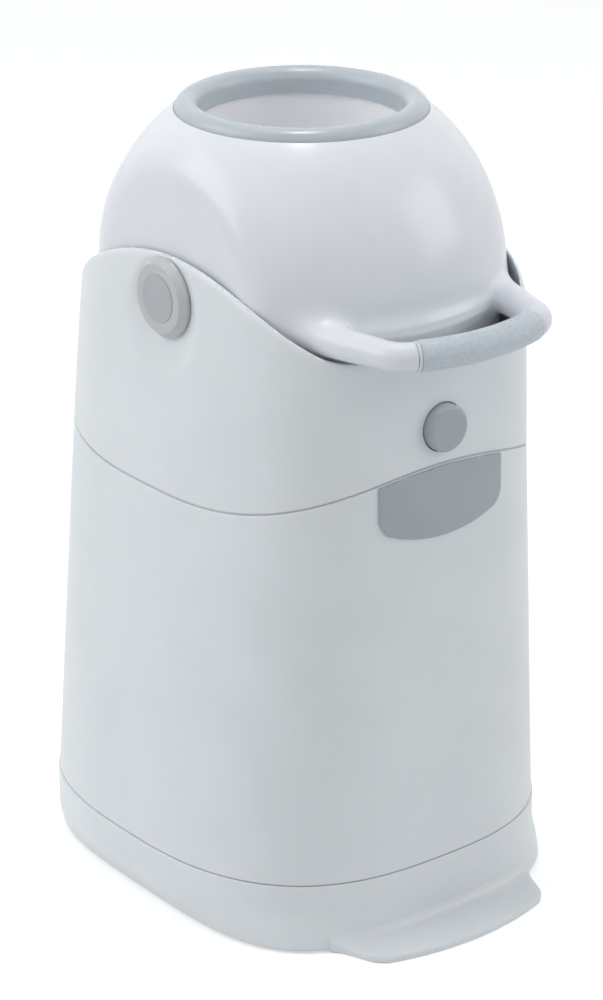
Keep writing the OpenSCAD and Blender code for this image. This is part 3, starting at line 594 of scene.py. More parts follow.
class Workshop:
    """Turns points and faces into finished objects and puts them on their bodies."""

    def __init__(self) -> None:
        """Take the drum's axis from the frame and make every finish once."""
        low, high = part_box("hub_disc_left")
        self.axis_y = (low.y + high.y) / 2 / MM
        self.pivot_z = (low.z + high.z) / 2 / MM
        self.finishes = Finishes()
        self.materials: dict[str, Material] = {}
        self.waiting = set(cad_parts)

    def material(self, finish: Finish) -> Material:
        """Return the finish's material, made on its first use."""
        if finish.name not in self.materials:
            self.materials[finish.name] = finish.build()
        return self.materials[finish.name]

    def to_metres(self, points: Points) -> Points:
        """Return points of the drum's frame in millimetres as metres in the bin's frame."""
        return (points + np.array([0.0, self.axis_y, 0.0])) * MM

    def mesh(
        self, name: str, points: Points, faces: Sequence[Sequence[int]], crease: float = 35.0
    ) -> Object:
        """Make an object from points and faces.

        Args:
            name: name of the piece.
            points: corners in millimetres in the drum's frame.
            faces: corner numbers of each face.
            crease: angle in degrees above which an edge stays sharp.

        Returns:
            The object, with doubles merged and faces turned outwards.
        """
        data = bpy.data.meshes.new(name)
        data.from_pydata(self.to_metres(points).tolist(), [], [list(map(int, f)) for f in faces])
        return self.settle(bpy.data.objects.new(name, data), crease)

    def settle(self, piece: Object, crease: float = 35.0) -> Object:
        """Merge doubles, turn faces outwards and smooth the shading.

        Args:
            piece: object with a plain mesh.
            crease: angle in degrees above which an edge stays sharp.

        Returns:
            The same object, linked to the scene.
        """
        work = bmesh.new()
        work.from_mesh(piece.data)
        bmesh.ops.remove_doubles(work, verts=work.verts, dist=2e-6)
        bmesh.ops.dissolve_degenerate(work, edges=work.edges, dist=1e-7)
        bmesh.ops.recalc_face_normals(work, faces=work.faces)
        work.to_mesh(piece.data)
        work.free()
        self.shade(piece, crease)
        if piece.name not in bpy.context.scene.collection.objects:
            bpy.context.scene.collection.objects.link(piece)
        return piece

    def shade(self, piece: Object, crease: float) -> None:
        """Shade a piece smoothly.

        Args:
            piece: the mesh object.
            crease: angle in degrees above which an edge stays sharp.
        """
        for polygon in piece.data.polygons:
            polygon.use_smooth = True
        piece.data.set_sharp_from_angle(angle=math.radians(crease))

    def cut(self, piece: Object, cutters: Sequence[Object], crease: float = 35.0) -> None:
        """Take the cutters out of a piece, apply that and remove them.

        Args:
            piece: object to cut.
            cutters: closed objects.
            crease: angle in degrees above which an edge stays sharp.
        """
        for cutter in cutters:
            modifier = piece.modifiers.new("cut", "BOOLEAN")
            modifier.object = cutter
            modifier.operation = "DIFFERENCE"
            modifier.solver = "EXACT"
        self.apply(piece)
        for cutter in cutters:
            bpy.data.objects.remove(cutter)
        self.shade(piece, crease)

    def apply(self, piece: Object) -> None:
        """Turn a piece with its modifiers into a plain mesh."""
        bpy.context.view_layer.update()
        graph = bpy.context.evaluated_depsgraph_get()
        data = bpy.data.meshes.new_from_object(piece.evaluated_get(graph), depsgraph=graph)
        piece.modifiers.clear()
        piece.data = data

    def grow(
        self, name: str, tree: NodeTree, values: dict[str, object], outline: Points | None = None
    ) -> Object:
        """Run a Geometry Nodes tree and keep what it makes as a plain mesh.

        Args:
            name: name of the piece.
            tree: the tree.
            values: value of each named input.
            outline: corners of a closed line that the tree follows, in millimetres in the drum's frame.

        Returns:
            The object, without its modifier.
        """
        data = bpy.data.meshes.new(name)
        if outline is not None:
            count = len(outline)
            edges = [(i, (i + 1) % count) for i in range(count)]
            data.from_pydata(self.to_metres(outline).tolist(), edges, [])
        piece = bpy.data.objects.new(name, data)
        bpy.context.scene.collection.objects.link(piece)
        modifier = piece.modifiers.new("grow", "NODES")
        modifier.node_group = tree
        keys = {
            item.name: item.identifier
            for item in tree.interface.items_tree
            if item.item_type == "SOCKET" and item.in_out == "INPUT"
        }
        for label, value in values.items():
            modifier[keys[label]] = value
        self.apply(piece)
        return self.settle(piece)

    def soften(self, node: str, width: float, segments: int = 3) -> Object:
        """Copy a CAD node, merge it and round its edges.

        Args:
            node: name of the CAD node.
            width: width of the rounding in millimetres.
            segments: faces across the rounding.

        Returns:
            The rounded copy as a plain mesh.
        """
        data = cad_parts[node].data.copy()
        piece = bpy.data.objects.new(node + "_round", data)
        work = bmesh.new()
        work.from_mesh(data)
        bmesh.ops.remove_doubles(work, verts=work.verts, dist=1e-6)
        bmesh.ops.dissolve_limit(work, angle_limit=math.radians(1.0), verts=work.verts, edges=work.edges)
        work.to_mesh(data)
        work.free()
        data.materials.clear()
        bpy.context.scene.collection.objects.link(piece)
        bevel = piece.modifiers.new("round", "BEVEL")
        bevel.width = width * MM
        bevel.segments = segments
        bevel.limit_method = "ANGLE"
        bevel.angle_limit = math.radians(32)
        bevel.use_clamp_overlap = True
        self.apply(piece)
        self.shade(piece, 40.0)
        return piece

    def round_off(self, body: Body, finish: Finish, width: float, *nodes: str) -> None:
        """Replace CAD nodes by copies with rounded edges.

        Args:
            body: body that carries them.
            finish: their finish.
            width: width of the rounding in millimetres.
            nodes: names of the nodes.
        """
        for node in nodes:
            self.finish(self.soften(node, width), body, finish, node)

    def coat(self, piece: Object, finish: Finish) -> None:
        """Give a piece one material.

        Args:
            piece: the mesh object.
            finish: finish whose material it gets.
        """
        piece.data.materials.clear()
        piece.data.materials.append(self.material(finish))
        piece.data.polygons.foreach_set("material_index", [0] * len(piece.data.polygons))

    def finish(self, piece: Object, body: Body, finish: Finish, *nodes: str) -> Object:
        """Dress a piece, put it on its body and let it stand for CAD nodes.

        Args:
            piece: the finished mesh object.
            body: body that carries it.
            finish: its finish.
            nodes: CAD nodes that it replaces.

        Returns:
            The same object.
        """
        self.coat(piece, finish)
        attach(piece, body.value)
        if nodes:
            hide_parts(*nodes)
            self.waiting -= set(nodes)
        LOG.info("%s: %d faces on %s", piece.name, len(piece.data.polygons), body.value)
        return piece

    def dress(self, finish: Finish, *nodes: str) -> None:
        """Give CAD nodes that keep their shape a finish.

        Args:
            finish: the finish.
            nodes: names of the nodes.
        """
        for node in nodes:
            self.coat(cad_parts[node], finish)
            self.waiting.discard(node)
            LOG.info("%s: kept from the frame as %s", node, finish.name)


def grid_faces(rows: int, columns: int, ends_meet: bool) -> list[tuple[int, int, int, int]]:
    """Return the faces of rows of points that close round their columns.

    Args:
        rows: number of rows.
        columns: points in a row.
        ends_meet: True where the last row joins the first.

    Returns:
        Four corner numbers for each face.
    """
    faces = []
    for i in range(rows if ends_meet else rows - 1):
        a = i * columns
        b = ((i + 1) % rows) * columns
        for j in range(columns):
            k = (j + 1) % columns
            faces.append((a + j, a + k, b + k, b + j))
    return faces


def rounded(corners: Sequence[tuple[float, float, float]], closed: bool, steps: int = 7) -> Points:
    """Round the corners of an outline.

    Args:
        corners: radius, height and rounding of each corner.
        closed: True where the last corner joins the first.
        steps: parts of each rounding.

    Returns:
        The points of the outline, two columns.
    """
    count = len(corners)
    result: list[Points] = []
    for i, (r, h, rounding) in enumerate(corners):
        here = np.array([r, h])
        if rounding <= 0 or (not closed and i in (0, count - 1)):
            result.append(here)
            continue
        before = np.array(corners[i - 1][:2]) - here
        after = np.array(corners[(i + 1) % count][:2]) - here
        u = before / np.linalg.norm(before)
        v = after / np.linalg.norm(after)
        half = math.acos(float(np.clip(u @ v, -1, 1))) / 2
        centre = here + (u + v) / np.linalg.norm(u + v) * rounding / math.sin(half)
        first = here + u * rounding / math.tan(half) - centre
        last = here + v * rounding / math.tan(half) - centre
        a0 = math.atan2(first[1], first[0])
        turn = (math.atan2(last[1], last[0]) - a0 + math.pi) % (2 * math.pi) - math.pi
        for s in np.linspace(0, 1, steps):
            result.append(centre + rounding * np.array([math.cos(a0 + s * turn), math.sin(a0 + s * turn)]))
    return np.array(result)


def turned(profile: Points, axis: Axis, centre: Sequence[float], segments: int = 144) -> Points:
    """Turn a profile about an axis.

    Args:
        profile: radius and height of each point.
        axis: direction of the axis.
        centre: point on the axis where height is 0.
        segments: steps round the axis.

    Returns:
        Rows of points, one row for each point of the profile.
    """
    angle = np.linspace(0, 2 * math.pi, segments, endpoint=False)
    radius = profile[:, 0, None]
    plain = np.stack(
        [radius * np.cos(angle), radius * np.sin(angle), np.repeat(profile[:, 1, None], segments, 1)], -1
    )
    return (plain[..., list(axis.value)] + np.array(centre)).reshape(-1, 3)


def lathe(
    shop: Workshop, name: str, profile: Points, axis: Axis, centre: Sequence[float],
    closed: bool = True, segments: int = 144,
) -> Object:
    """Make a turned piece.

    Args:
        shop: makes the object.
        name: name of the piece.
        profile: radius and height of each point.
        axis: direction of the axis.
        centre: point on the axis where height is 0.
        closed: True for a ring, False for a profile that starts and ends on the axis.
        segments: steps round the axis.

    Returns:
        The object.
    """
    points = turned(profile, axis, centre, segments)
    return shop.mesh(name, points, grid_faces(len(profile), segments, closed))


def smooth_union(a: np.ndarray, b: np.ndarray, reach: float) -> np.ndarray:
    """Return the union of two distances with a fillet of the given reach."""
    share = np.maximum(reach - np.abs(a - b), 0.0) / reach
    return np.minimum(a, b) - share**3 * reach / 6


def smooth_min(a: np.ndarray, b: np.ndarray, reach: float) -> np.ndarray:
    """Return the lower of two values with a soft change between them."""
    share = np.maximum(reach - np.abs(a - b), 0.0) / reach
    return np.minimum(a, b) - share**2 * reach / 4


def round_overlap(parts: Sequence[np.ndarray], radius: float) -> np.ndarray:
    """Overlap several distances.

    Args:
        parts: the distances.
        radius: radius of the edges.

    Returns:
        The distance to what they all share.
    """
    grown = [p + radius for p in parts]
    outside = np.sqrt(sum(np.maximum(g, 0.0) ** 2 for g in grown))
    return outside + np.minimum(np.maximum.reduce(grown), 0.0) - radius


def skin(shape: Distance, low: Sequence[float], high: Sequence[float], step: float) -> tuple[Points, list]:
    """Wrap a mesh of even four-sided faces round a shape given by its distance.

    Args:
        shape: distance to the surface, negative inside.
        low: lowest corner of the space that is searched.
        high: highest corner of that space.
        step: edge length of a face.

    Returns:
        The points, which lie on the surface, and the faces.
    """
    low = np.array(low, float)
    count = np.ceil((np.array(high) - low) / step).astype(int) + 1
    axes = [low[i] + step * np.arange(count[i]) for i in range(3)]
    grid = np.stack(np.meshgrid(*axes, indexing="ij"), -1).reshape(-1, 3)
    inside = shape(grid).reshape(count) < 0
    corners = sum(
        inside[i : count[0] - 1 + i, j : count[1] - 1 + j, k : count[2] - 1 + k].astype(int)
        for i in (0, 1) for j in (0, 1) for k in (0, 1)
    )
    active = (corners > 0) & (corners < 8)
    number = np.full(active.shape, -1)
    number[active] = np.arange(active.sum())
    points = low + step * (np.argwhere(active) + 0.5)
    faces = []
    for a in range(3):
        u, v = (a + 1) % 3, (a + 2) % 3
        change = np.moveaxis(inside, (a, u, v), (0, 1, 2))
        cells = np.moveaxis(number, (a, u, v), (0, 1, 2))
        start = change[:-1, 1:-1, 1:-1]
        end = change[1:, 1:-1, 1:-1]
        quad = np.stack([cells[:, :-1, :-1], cells[:, 1:, :-1], cells[:, 1:, 1:], cells[:, :-1, 1:]], -1)
        out = quad[start & ~end]
        back = quad[~start & end][:, ::-1]
        faces += out.tolist() + back.tolist()
    links = np.array(faces)
    for _ in range(3):
        points = pull(shape, points, step)
        middle = points[links].mean(1)
        total = np.zeros_like(points)
        share = np.zeros(len(points))
        for c in range(4):
            np.add.at(total, links[:, c], middle)
            np.add.at(share, links[:, c], 1)
        points = total / share[:, None]
    return pull(shape, points, step), faces


def pull(shape: Distance, points: Points, step: float) -> Points:
    """Move points onto the surface of a shape along its slope.

    Args:
        shape: distance to the surface, negative inside.
        points: points near the surface.
        step: longest move in one go.

    Returns:
        The moved points.
    """
    shift = 0.02
    for _ in range(4):
        value = shape(points)
        slope = np.stack(
            [(shape(points + shift * e) - shape(points - shift * e)) / (2 * shift) for e in np.eye(3)], -1
        )
        size = np.maximum((slope**2).sum(1), 1e-4)
        move = -(value / size)[:, None] * slope
        length = np.linalg.norm(move, axis=1, keepdims=True)
        points = points + move * np.minimum(1, 0.7 * step / np.maximum(length, 1e-9))
    return points


@dataclass
class Plan:
    """Superellipse plan of tub and head, which changes with the height."""

    heights: tuple[float, ...] = (0.0, 52.0, 340.0, 473.0, 504.0, 530.0)
    half_w: tuple[float, ...] = (166.06, 162.0, 139.5, 126.0, 122.5, 119.6)
    front: tuple[float, ...] = (169.71, 168.988, 164.988, 159.988, 156.988, 154.5)
    rear: tuple[float, ...] = (191.52, 188.988, 174.988, 159.988, 156.988, 154.5)
    power: tuple[float, ...] = (2.66, 2.7, 2.95, 3.5, 3.5, 3.5)
    soft: float = 12.0

    def sizes(self, z: np.ndarray | float) -> list[np.ndarray]:
        """Read the plan at heights, smoothly over its levels.

        Args:
            z: the heights.

        Returns:
            Half width, front, rear and roundness.
        """
        steps = np.linspace(-self.soft, self.soft, 9)
        rows = (self.half_w, self.front, self.rear, self.power)
        return [np.mean([np.interp(z + d, self.heights, row) for d in steps], axis=0) for row in rows]

    def wall(self, phi: np.ndarray, z: np.ndarray | float, inset: float = 0.0) -> Points:
        """Return points of the wall.

        Args:
            phi: angles of the points round the middle.
            z: their heights.
            inset: distance inside the outer face.

        Returns:
            One point for each angle.
        """
        z = np.asarray(z, float) + np.zeros_like(phi)
        half_w, front, rear, power = self.sizes(z)
        return superellipse(phi, z, (half_w, front, rear, power), inset)

    def distance(self, points: Points) -> np.ndarray:
        """Return how far points lie outside the wall, close to it."""
        return oval_distance(points, self.sizes(points[:, 2]))


def oval_distance(points: Points, sizes: Sequence[np.ndarray]) -> np.ndarray:
    """Return how far points lie outside a superellipse, close to its line.

    Args:
        points: points to measure.
        sizes: half width, front, rear and roundness at the height of each point.

    Returns:
        The distances, negative inside.
    """
    half_w, front, rear, power = sizes
    c, b = (rear - front) / 2, (rear + front) / 2
    x, y = points[:, 0] / half_w, (points[:, 1] - c) / b
    value = (np.abs(x) ** power + np.abs(y) ** power) ** (1 / power)
    slope = np.hypot(
        np.abs(x) ** (power - 1) / half_w, np.abs(y) ** (power - 1) / b
    ) * np.maximum(value, 0.05) ** (1 - power)
    return (value - 1) / np.maximum(slope, 1e-6)


def superellipse(phi: np.ndarray, z: np.ndarray, sizes: Sequence[np.ndarray], inset: float) -> Points:
    """Return points of a superellipse.

    Args:
        phi: angles of the points round the middle.
        z: their heights.
        sizes: half width, front, rear and roundness.
        inset: distance inside the line.

    Returns:
        One point for each angle.
    """
    half_w, front, rear, power = sizes
    c, b = (rear - front) / 2, (rear + front) / 2
    cos, sin = np.cos(phi), np.sin(phi)
    radius = (np.abs(cos / half_w) ** power + np.abs(sin / b) ** power) ** (-1 / power)
    x, y = radius * cos, radius * sin
    nx = np.sign(x) * np.abs(x / half_w) ** (power - 1) / half_w
    ny = np.sign(y) * np.abs(y / b) ** (power - 1) / b
    size = np.hypot(nx, ny)
    return np.stack([x - inset * nx / size, c + y - inset * ny / size, z], -1)


@dataclass
class Seam:
    """Arched parting line of tub and head, a cylinder lying along Y."""

    radius: float = 295.0
    axis_z: float = 71.0
    gap: float = 1.2

    def height(self, plan: Plan, phi: np.ndarray, gap: float) -> np.ndarray:
        """Follow the arch along the wall.

        Args:
            plan: plan of the wall.
            phi: angles of the columns.
            gap: distance above the parting line.

        Returns:
            The height at each angle.
        """
        z = np.full_like(phi, 350.0)
        for _ in range(12):
            x = plan.wall(phi, z)[:, 0]
            z = self.axis_z + np.sqrt((self.radius + gap) ** 2 - x**2)
        return z


def spread(plan: Plan, level: float, coarse: float, fine: float, near: float) -> np.ndarray:
    """Place columns round the plan, closer together by the hubs.

    Args:
        plan: plan of the wall.
        level: height at which the spacing is measured.
        coarse: spacing of the columns.
        fine: spacing beside the hubs.
        near: distance from the drum's axis within which it is fine.

    Returns:
        Angles of the columns.
    """
    phi = np.linspace(-math.pi, math.pi, 24001)
    line = plan.wall(phi, level)
    step = np.linalg.norm(np.diff(line, axis=0), axis=1)
    by_hub = (np.abs(line[:-1, 1]) < near) & (np.abs(line[:-1, 0]) > 60)
    total = np.concatenate([[0.0], np.cumsum(step / np.where(by_hub, fine, coarse))])
    count = int(total[-1])
    return np.interp(np.arange(count) * total[-1] / count, total, phi)


def shell_rows(
    plan: Plan, phi: np.ndarray, low: np.ndarray, high: np.ndarray, wall: float,
    rounds: tuple[float, float], shares: np.ndarray, lip: float = 0.0, rebate: float = 0.0,
    tall: float = 1.0, turned_in: np.ndarray | float = 0.0,
) -> list[Points]:
    """Return rows of points round a wall, up its outside and down its inside.

    Args:
        plan: plan of the wall.
        phi: angles of the columns.
        low: lower edge at each column.
        high: upper edge at each column.
        wall: thickness.
        rounds: rounding of the outer edge at the bottom and at the top.
        shares: places of the rows between the edges, from 0 to 1.
        lip: height of the thin lip that stands up from the inner half of the upper edge.
        rebate: height of the step that leaves room for such a lip at the lower edge.
        tall: how many times higher than wide the rounding at the top is.
        turned_in: how far the upper edge is turned inwards at each column.

    Returns:
        Rows that close on themselves.
    """
    bottom, top = rounds
    turn = np.radians([15, 30, 45, 60, 75, 90])
    rows = [plan.wall(phi, low + bottom + s * (high - low - bottom - tall * top)) for s in shares]
    rows += [plan.wall(phi, high - tall * top * (1 - math.sin(a)), top * (1 - math.cos(a))) for a in turn]
    inner = wall - top
    if lip:
        steps = ((0.0, 0.62), (0.3, 0.66), (lip - 0.3, 0.68), (lip, 0.76), (lip, 0.92), (lip - 0.3, 1.0))
        rows += [plan.wall(phi, high + up, wall * share) for up, share in steps]
    else:
        rows += [
            plan.wall(phi, high - inner * (1 - math.sin(a)), wall + turned_in - inner * (1 - math.cos(a)))
            for a in turn[::-1]
        ]
        fade = ((2.6, 1.0), (4.0, 0.5))
        rows += [plan.wall(phi, high - down, wall + turned_in * share) for down, share in fade]
    foot = low + wall + rebate
    height = high - wall - 2.5 - foot
    rows += [plan.wall(phi, foot + s * height, wall) for s in np.linspace(1, 0, 14)]
    inner = wall - bottom
    if rebate:
        steps = (
            (rebate + 0.4, 0.97), (rebate, 0.8), (rebate, 0.56), (rebate - 0.5, 0.5), (0.3, 0.5),
            (0.0, 0.44),
        )
        rows += [plan.wall(phi, low + up, wall * share) for up, share in steps]
    else:
        rows += [
            plan.wall(phi, low + inner * (1 - math.sin(a)), wall - inner * (1 - math.cos(a))) for a in turn
        ]
    rows += [
        plan.wall(phi, low + bottom * (1 - math.sin(a)), bottom * (1 - math.cos(a))) for a in turn[::-1]
    ]
    return rows


@dataclass
class Tub:
    """Tub with its base pan, toe plate, latch panel, feet and half of the hinge."""

    shop: Workshop
    plan: Plan
    seam: Seam
    low: float = 52.6
    wall: float = 3.0
    lip: float = 3.0
    pan_half_w: float = 163.0
    pan_front: float = 169.988
    pan_rear: float = 189.988
    pan_top: float = 52.0
    pan_bottom: float = 2.0
    pan_round: float = 2.2
    pan_edge: float = 0.9
    pan_floor: float = 5.0
    pan_floor_round: float = 2.6
    pan_wall: float = 4.0
    pan_rows: tuple[float, ...] = (44.0, 36.0, 30.0, 26.0, 22.0, 17.0, 12.0, 8.0)
    foot_power: float = 3.6
    foot_h: float = 26.0
    foot_in_side: float = 12.0
    foot_in_rear: float = 12.0
    base_power: float = 2.7
    toe_end: float = 97.4
    toe_half_w: float = 90.0
    toe_tip_w: float = 75.0
    toe_reach: float = 210.488
    toe_bow: float = 230.0
    toe_corner: float = 7.0
    toe_top: float = 5.0
    toe_rise: float = 1.6
    toe_run: float = 42.0
    toe_depth: float = 24.0
    toe_fillet: float = 13.0
    toe_skin: float = 2.0
    toe_skin_h: float = 14.0
    toe_space: tuple[Sequence[float], Sequence[float]] = ((-101, -214, -2), (101, -125, 16))
    toe_mesh: float = 1.5
    panel_half_w: float = 57.0
    panel_low: float = 312.0
    panel_bow: float = 130.0
    panel_corner: float = 9.0
    panel_t: float = 2.0
    panel_space: tuple[Sequence[float], Sequence[float]] = ((-61, -172, 308), (61, -135, 369))
    panel_mesh: float = 1.1

    def build(self) -> None:
        """Make and dress every piece of the tub."""
        self.shell()
        self.pan()
        self.toe_plate()
        self.panel()
        self.feet()
        finishes = self.shop.finishes
        self.shop.round_off(Body.TUB, finishes.shell, 0.9, "tub_hinge_left", "tub_hinge_right")
        self.shop.round_off(Body.TUB, finishes.grey, 0.6, "pin_cap_left", "pin_cap_right")
        self.shop.dress(finishes.steel, "hinge_pin")
        self.shop.dress(finishes.inner, "seam_collar", "rim_ledge")
        self.shop.round_off(Body.TUB, finishes.grey, 0.5, "latch_keeper")

    def shell(self) -> None:
        """Make the tub's wall up to the arched parting line."""
        phi = spread(self.plan, 340.0, coarse=2.4, fine=2.4, near=0.0)
        low = np.full_like(phi, self.low)
        high = self.seam.height(self.plan, phi, 0.0)
        shares = np.linspace(0, 1, 64)
        rows = shell_rows(self.plan, phi, low, high, self.wall, (0.7, 1.1), shares, lip=self.lip)
        faces = grid_faces(len(rows), len(phi), ends_meet=True)
        piece = self.shop.mesh("tub_wall", np.concatenate(rows), faces)
        self.shop.finish(piece, Body.TUB, self.shop.finishes.shell, "tub_shell")

    def pan(self) -> None:
        """Make the base pan with its rounded lower edge and thin lip."""
        phi = spread(self.plan, 52.0, coarse=2.6, fine=2.6, near=0.0)
        rows = []

        def add(z: float, inset: float, scale: float = 1.0) -> None:
            """Add one row of points.

            Args:
                z: its height.
                inset: distance inside the outline.
                scale: share of the full size.
            """
            level = np.full_like(phi, z)
            row = superellipse(phi, level, self.pan_sizes(level), inset)
            middle = np.array([0.0, (self.pan_rear - self.pan_front) / 2, z])
            rows.append(middle + (row - middle) * np.array([scale, scale, 1.0]))

        for scale in (0.0, 0.2, 0.4, 0.6, 0.8, 0.93):
            add(self.pan_bottom, self.pan_round, scale)
        for a in np.radians(np.linspace(0, 90, 8)):
            add(self.pan_bottom + self.pan_round * (1 - math.cos(a)), self.pan_round * (1 - math.sin(a)))
        for z in np.linspace(self.pan_bottom + self.pan_round, self.pan_top - self.pan_edge, 32)[1:]:
            add(z, 0.0)
        for a in np.radians((18, 36, 54, 72, 90)):
            add(self.pan_top - self.pan_edge * (1 - math.sin(a)), self.pan_edge * (1 - math.cos(a)))
        add(self.pan_top, self.pan_wall - 0.4)
        add(self.pan_top - 0.4, self.pan_wall)
        for z in self.pan_rows:
            add(z, self.pan_wall)
        add(self.pan_floor + 0.6, self.pan_wall + 0.7)
        for scale in (1.0, 0.9, 0.7, 0.5, 0.3, 0.0):
            add(self.pan_floor, self.pan_wall + self.pan_floor_round, scale)
        faces = grid_faces(len(rows), len(phi), ends_meet=False)
        piece = self.shop.mesh("base_tray", np.concatenate(rows), faces)
        self.shop.finish(piece, Body.TUB, self.shop.finishes.shell, "base_pan")

    def pan_sizes(self, z: np.ndarray) -> list[np.ndarray]:
        """Return the pan's half width, front, rear and roundness at heights.

        Args:
            z: heights.

        Returns:
            The four sizes at each height, which widen from the foot to the full plan.
        """
        start = self.pan_bottom + self.pan_round
        share = np.clip((z - start) / (self.foot_h - start), 0, 2)
        left = 1 - smooth_min(share, np.ones_like(share), 0.3)
        return [
            self.pan_half_w - self.foot_in_side * left,
            self.pan_front + 0 * left,
            self.pan_rear - self.foot_in_rear * left,
            self.base_power + (self.foot_power - self.base_power) * left,
        ]

    def pan_distance(self, points: Points) -> np.ndarray:
        """Return how far points lie outside the pan's side near the floor."""
        return oval_distance(points, self.pan_sizes(points[:, 2]))

    def toe_plate(self) -> None:
        """Make the toe plate with a bowed front edge and a fillet up to the pan."""
        inner_y = -self.pan_front + self.toe_depth
        run = np.array([self.toe_tip_w - self.toe_half_w, -(self.toe_reach - self.pan_front)])
        normal = np.array([-run[1], run[0]]) / np.linalg.norm(run)

        def shape(p: Points) -> np.ndarray:
            """Return the distance of points p to the plate."""
            side = (np.abs(p[:, 0]) - self.toe_half_w) * normal[0] + (p[:, 1] + self.pan_front) * normal[1]
            bow = np.hypot(p[:, 0], p[:, 1] + self.toe_reach - self.toe_bow) - self.toe_bow
            plan = round_overlap([side, bow, p[:, 1] - inner_y], self.toe_corner)
            pan = self.pan_distance(p)
            slope = np.clip(pan, 0, self.toe_run) / self.toe_run
            top = (p[:, 2] - (self.toe_top + self.toe_rise * (1 - slope))) * 0.99
            plate = round_overlap([plan, top, -p[:, 2]], 1.3)
            flare = smooth_union(plate, pan + 0.05, self.toe_fillet)
            end = np.abs(p[:, 0]) - self.toe_end
            roof = p[:, 2] - self.toe_skin_h
            return round_overlap([flare, -pan - self.toe_skin, -p[:, 2], roof, end], 0.2)

        points, faces = skin(shape, *self.toe_space, self.toe_mesh)
        piece = self.shop.mesh("toe_step", points, faces, 50.0)
        self.shop.finish(piece, Body.TUB, self.shop.finishes.shell, "toe_plate")

    def panel(self) -> None:
        """Make the grey latch panel, laid on the tub with a soft edge."""

        def shape(p: Points) -> np.ndarray:
            """Return the distance of points p to the panel."""
            bow = np.hypot(p[:, 0], p[:, 2] - self.panel_low - self.panel_bow) - self.panel_bow
            side = np.abs(p[:, 0]) - self.panel_half_w
            arch = np.hypot(p[:, 0], p[:, 2] - self.seam.axis_z) - self.seam.radius + self.seam.gap / 2
            outline = round_overlap([bow, side], self.panel_corner)
            wall = self.plan.distance(p)
            face = round_overlap([outline, wall - self.panel_t], 1.5)
            return np.maximum(round_overlap([face, arch], 0.7), -wall - 0.3)

        points, faces = skin(shape, *self.panel_space, self.panel_mesh)
        piece = self.shop.mesh("latch_plate", points, faces, 50.0)
        self.shop.finish(piece, Body.TUB, self.shop.finishes.grey, "latch_panel")

    def feet(self) -> None:
        """Make the four rubber feet with two grooves each."""
        corners = [
            (0, 1.95, 0), (9.6, 1.95, 0), (11, 1.95, 0.1), (11, 0, 0.8), (8.2, 0, 0.3), (8.2, 0.7, 0.2),
            (6.8, 0.7, 0.2), (6.8, 0, 0.3), (4.4, 0, 0.3), (4.4, 0.7, 0.2), (3.0, 0.7, 0.2), (3.0, 0, 0.3),
            (0, 0, 0),
        ]
        profile = rounded(corners, closed=False, steps=4)
        for node in ("pad_front_left", "pad_front_right", "pad_rear_left", "pad_rear_right"):
            low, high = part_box(node)
            centre = ((low.x + high.x) / 2 / MM, (low.y + high.y) / 2 / MM - self.shop.axis_y, 0.0)
            piece = lathe(self.shop, node + "_ribbed", profile, Axis.Z, centre, closed=False, segments=64)
            self.shop.finish(piece, Body.TUB, self.shop.finishes.pad, node)


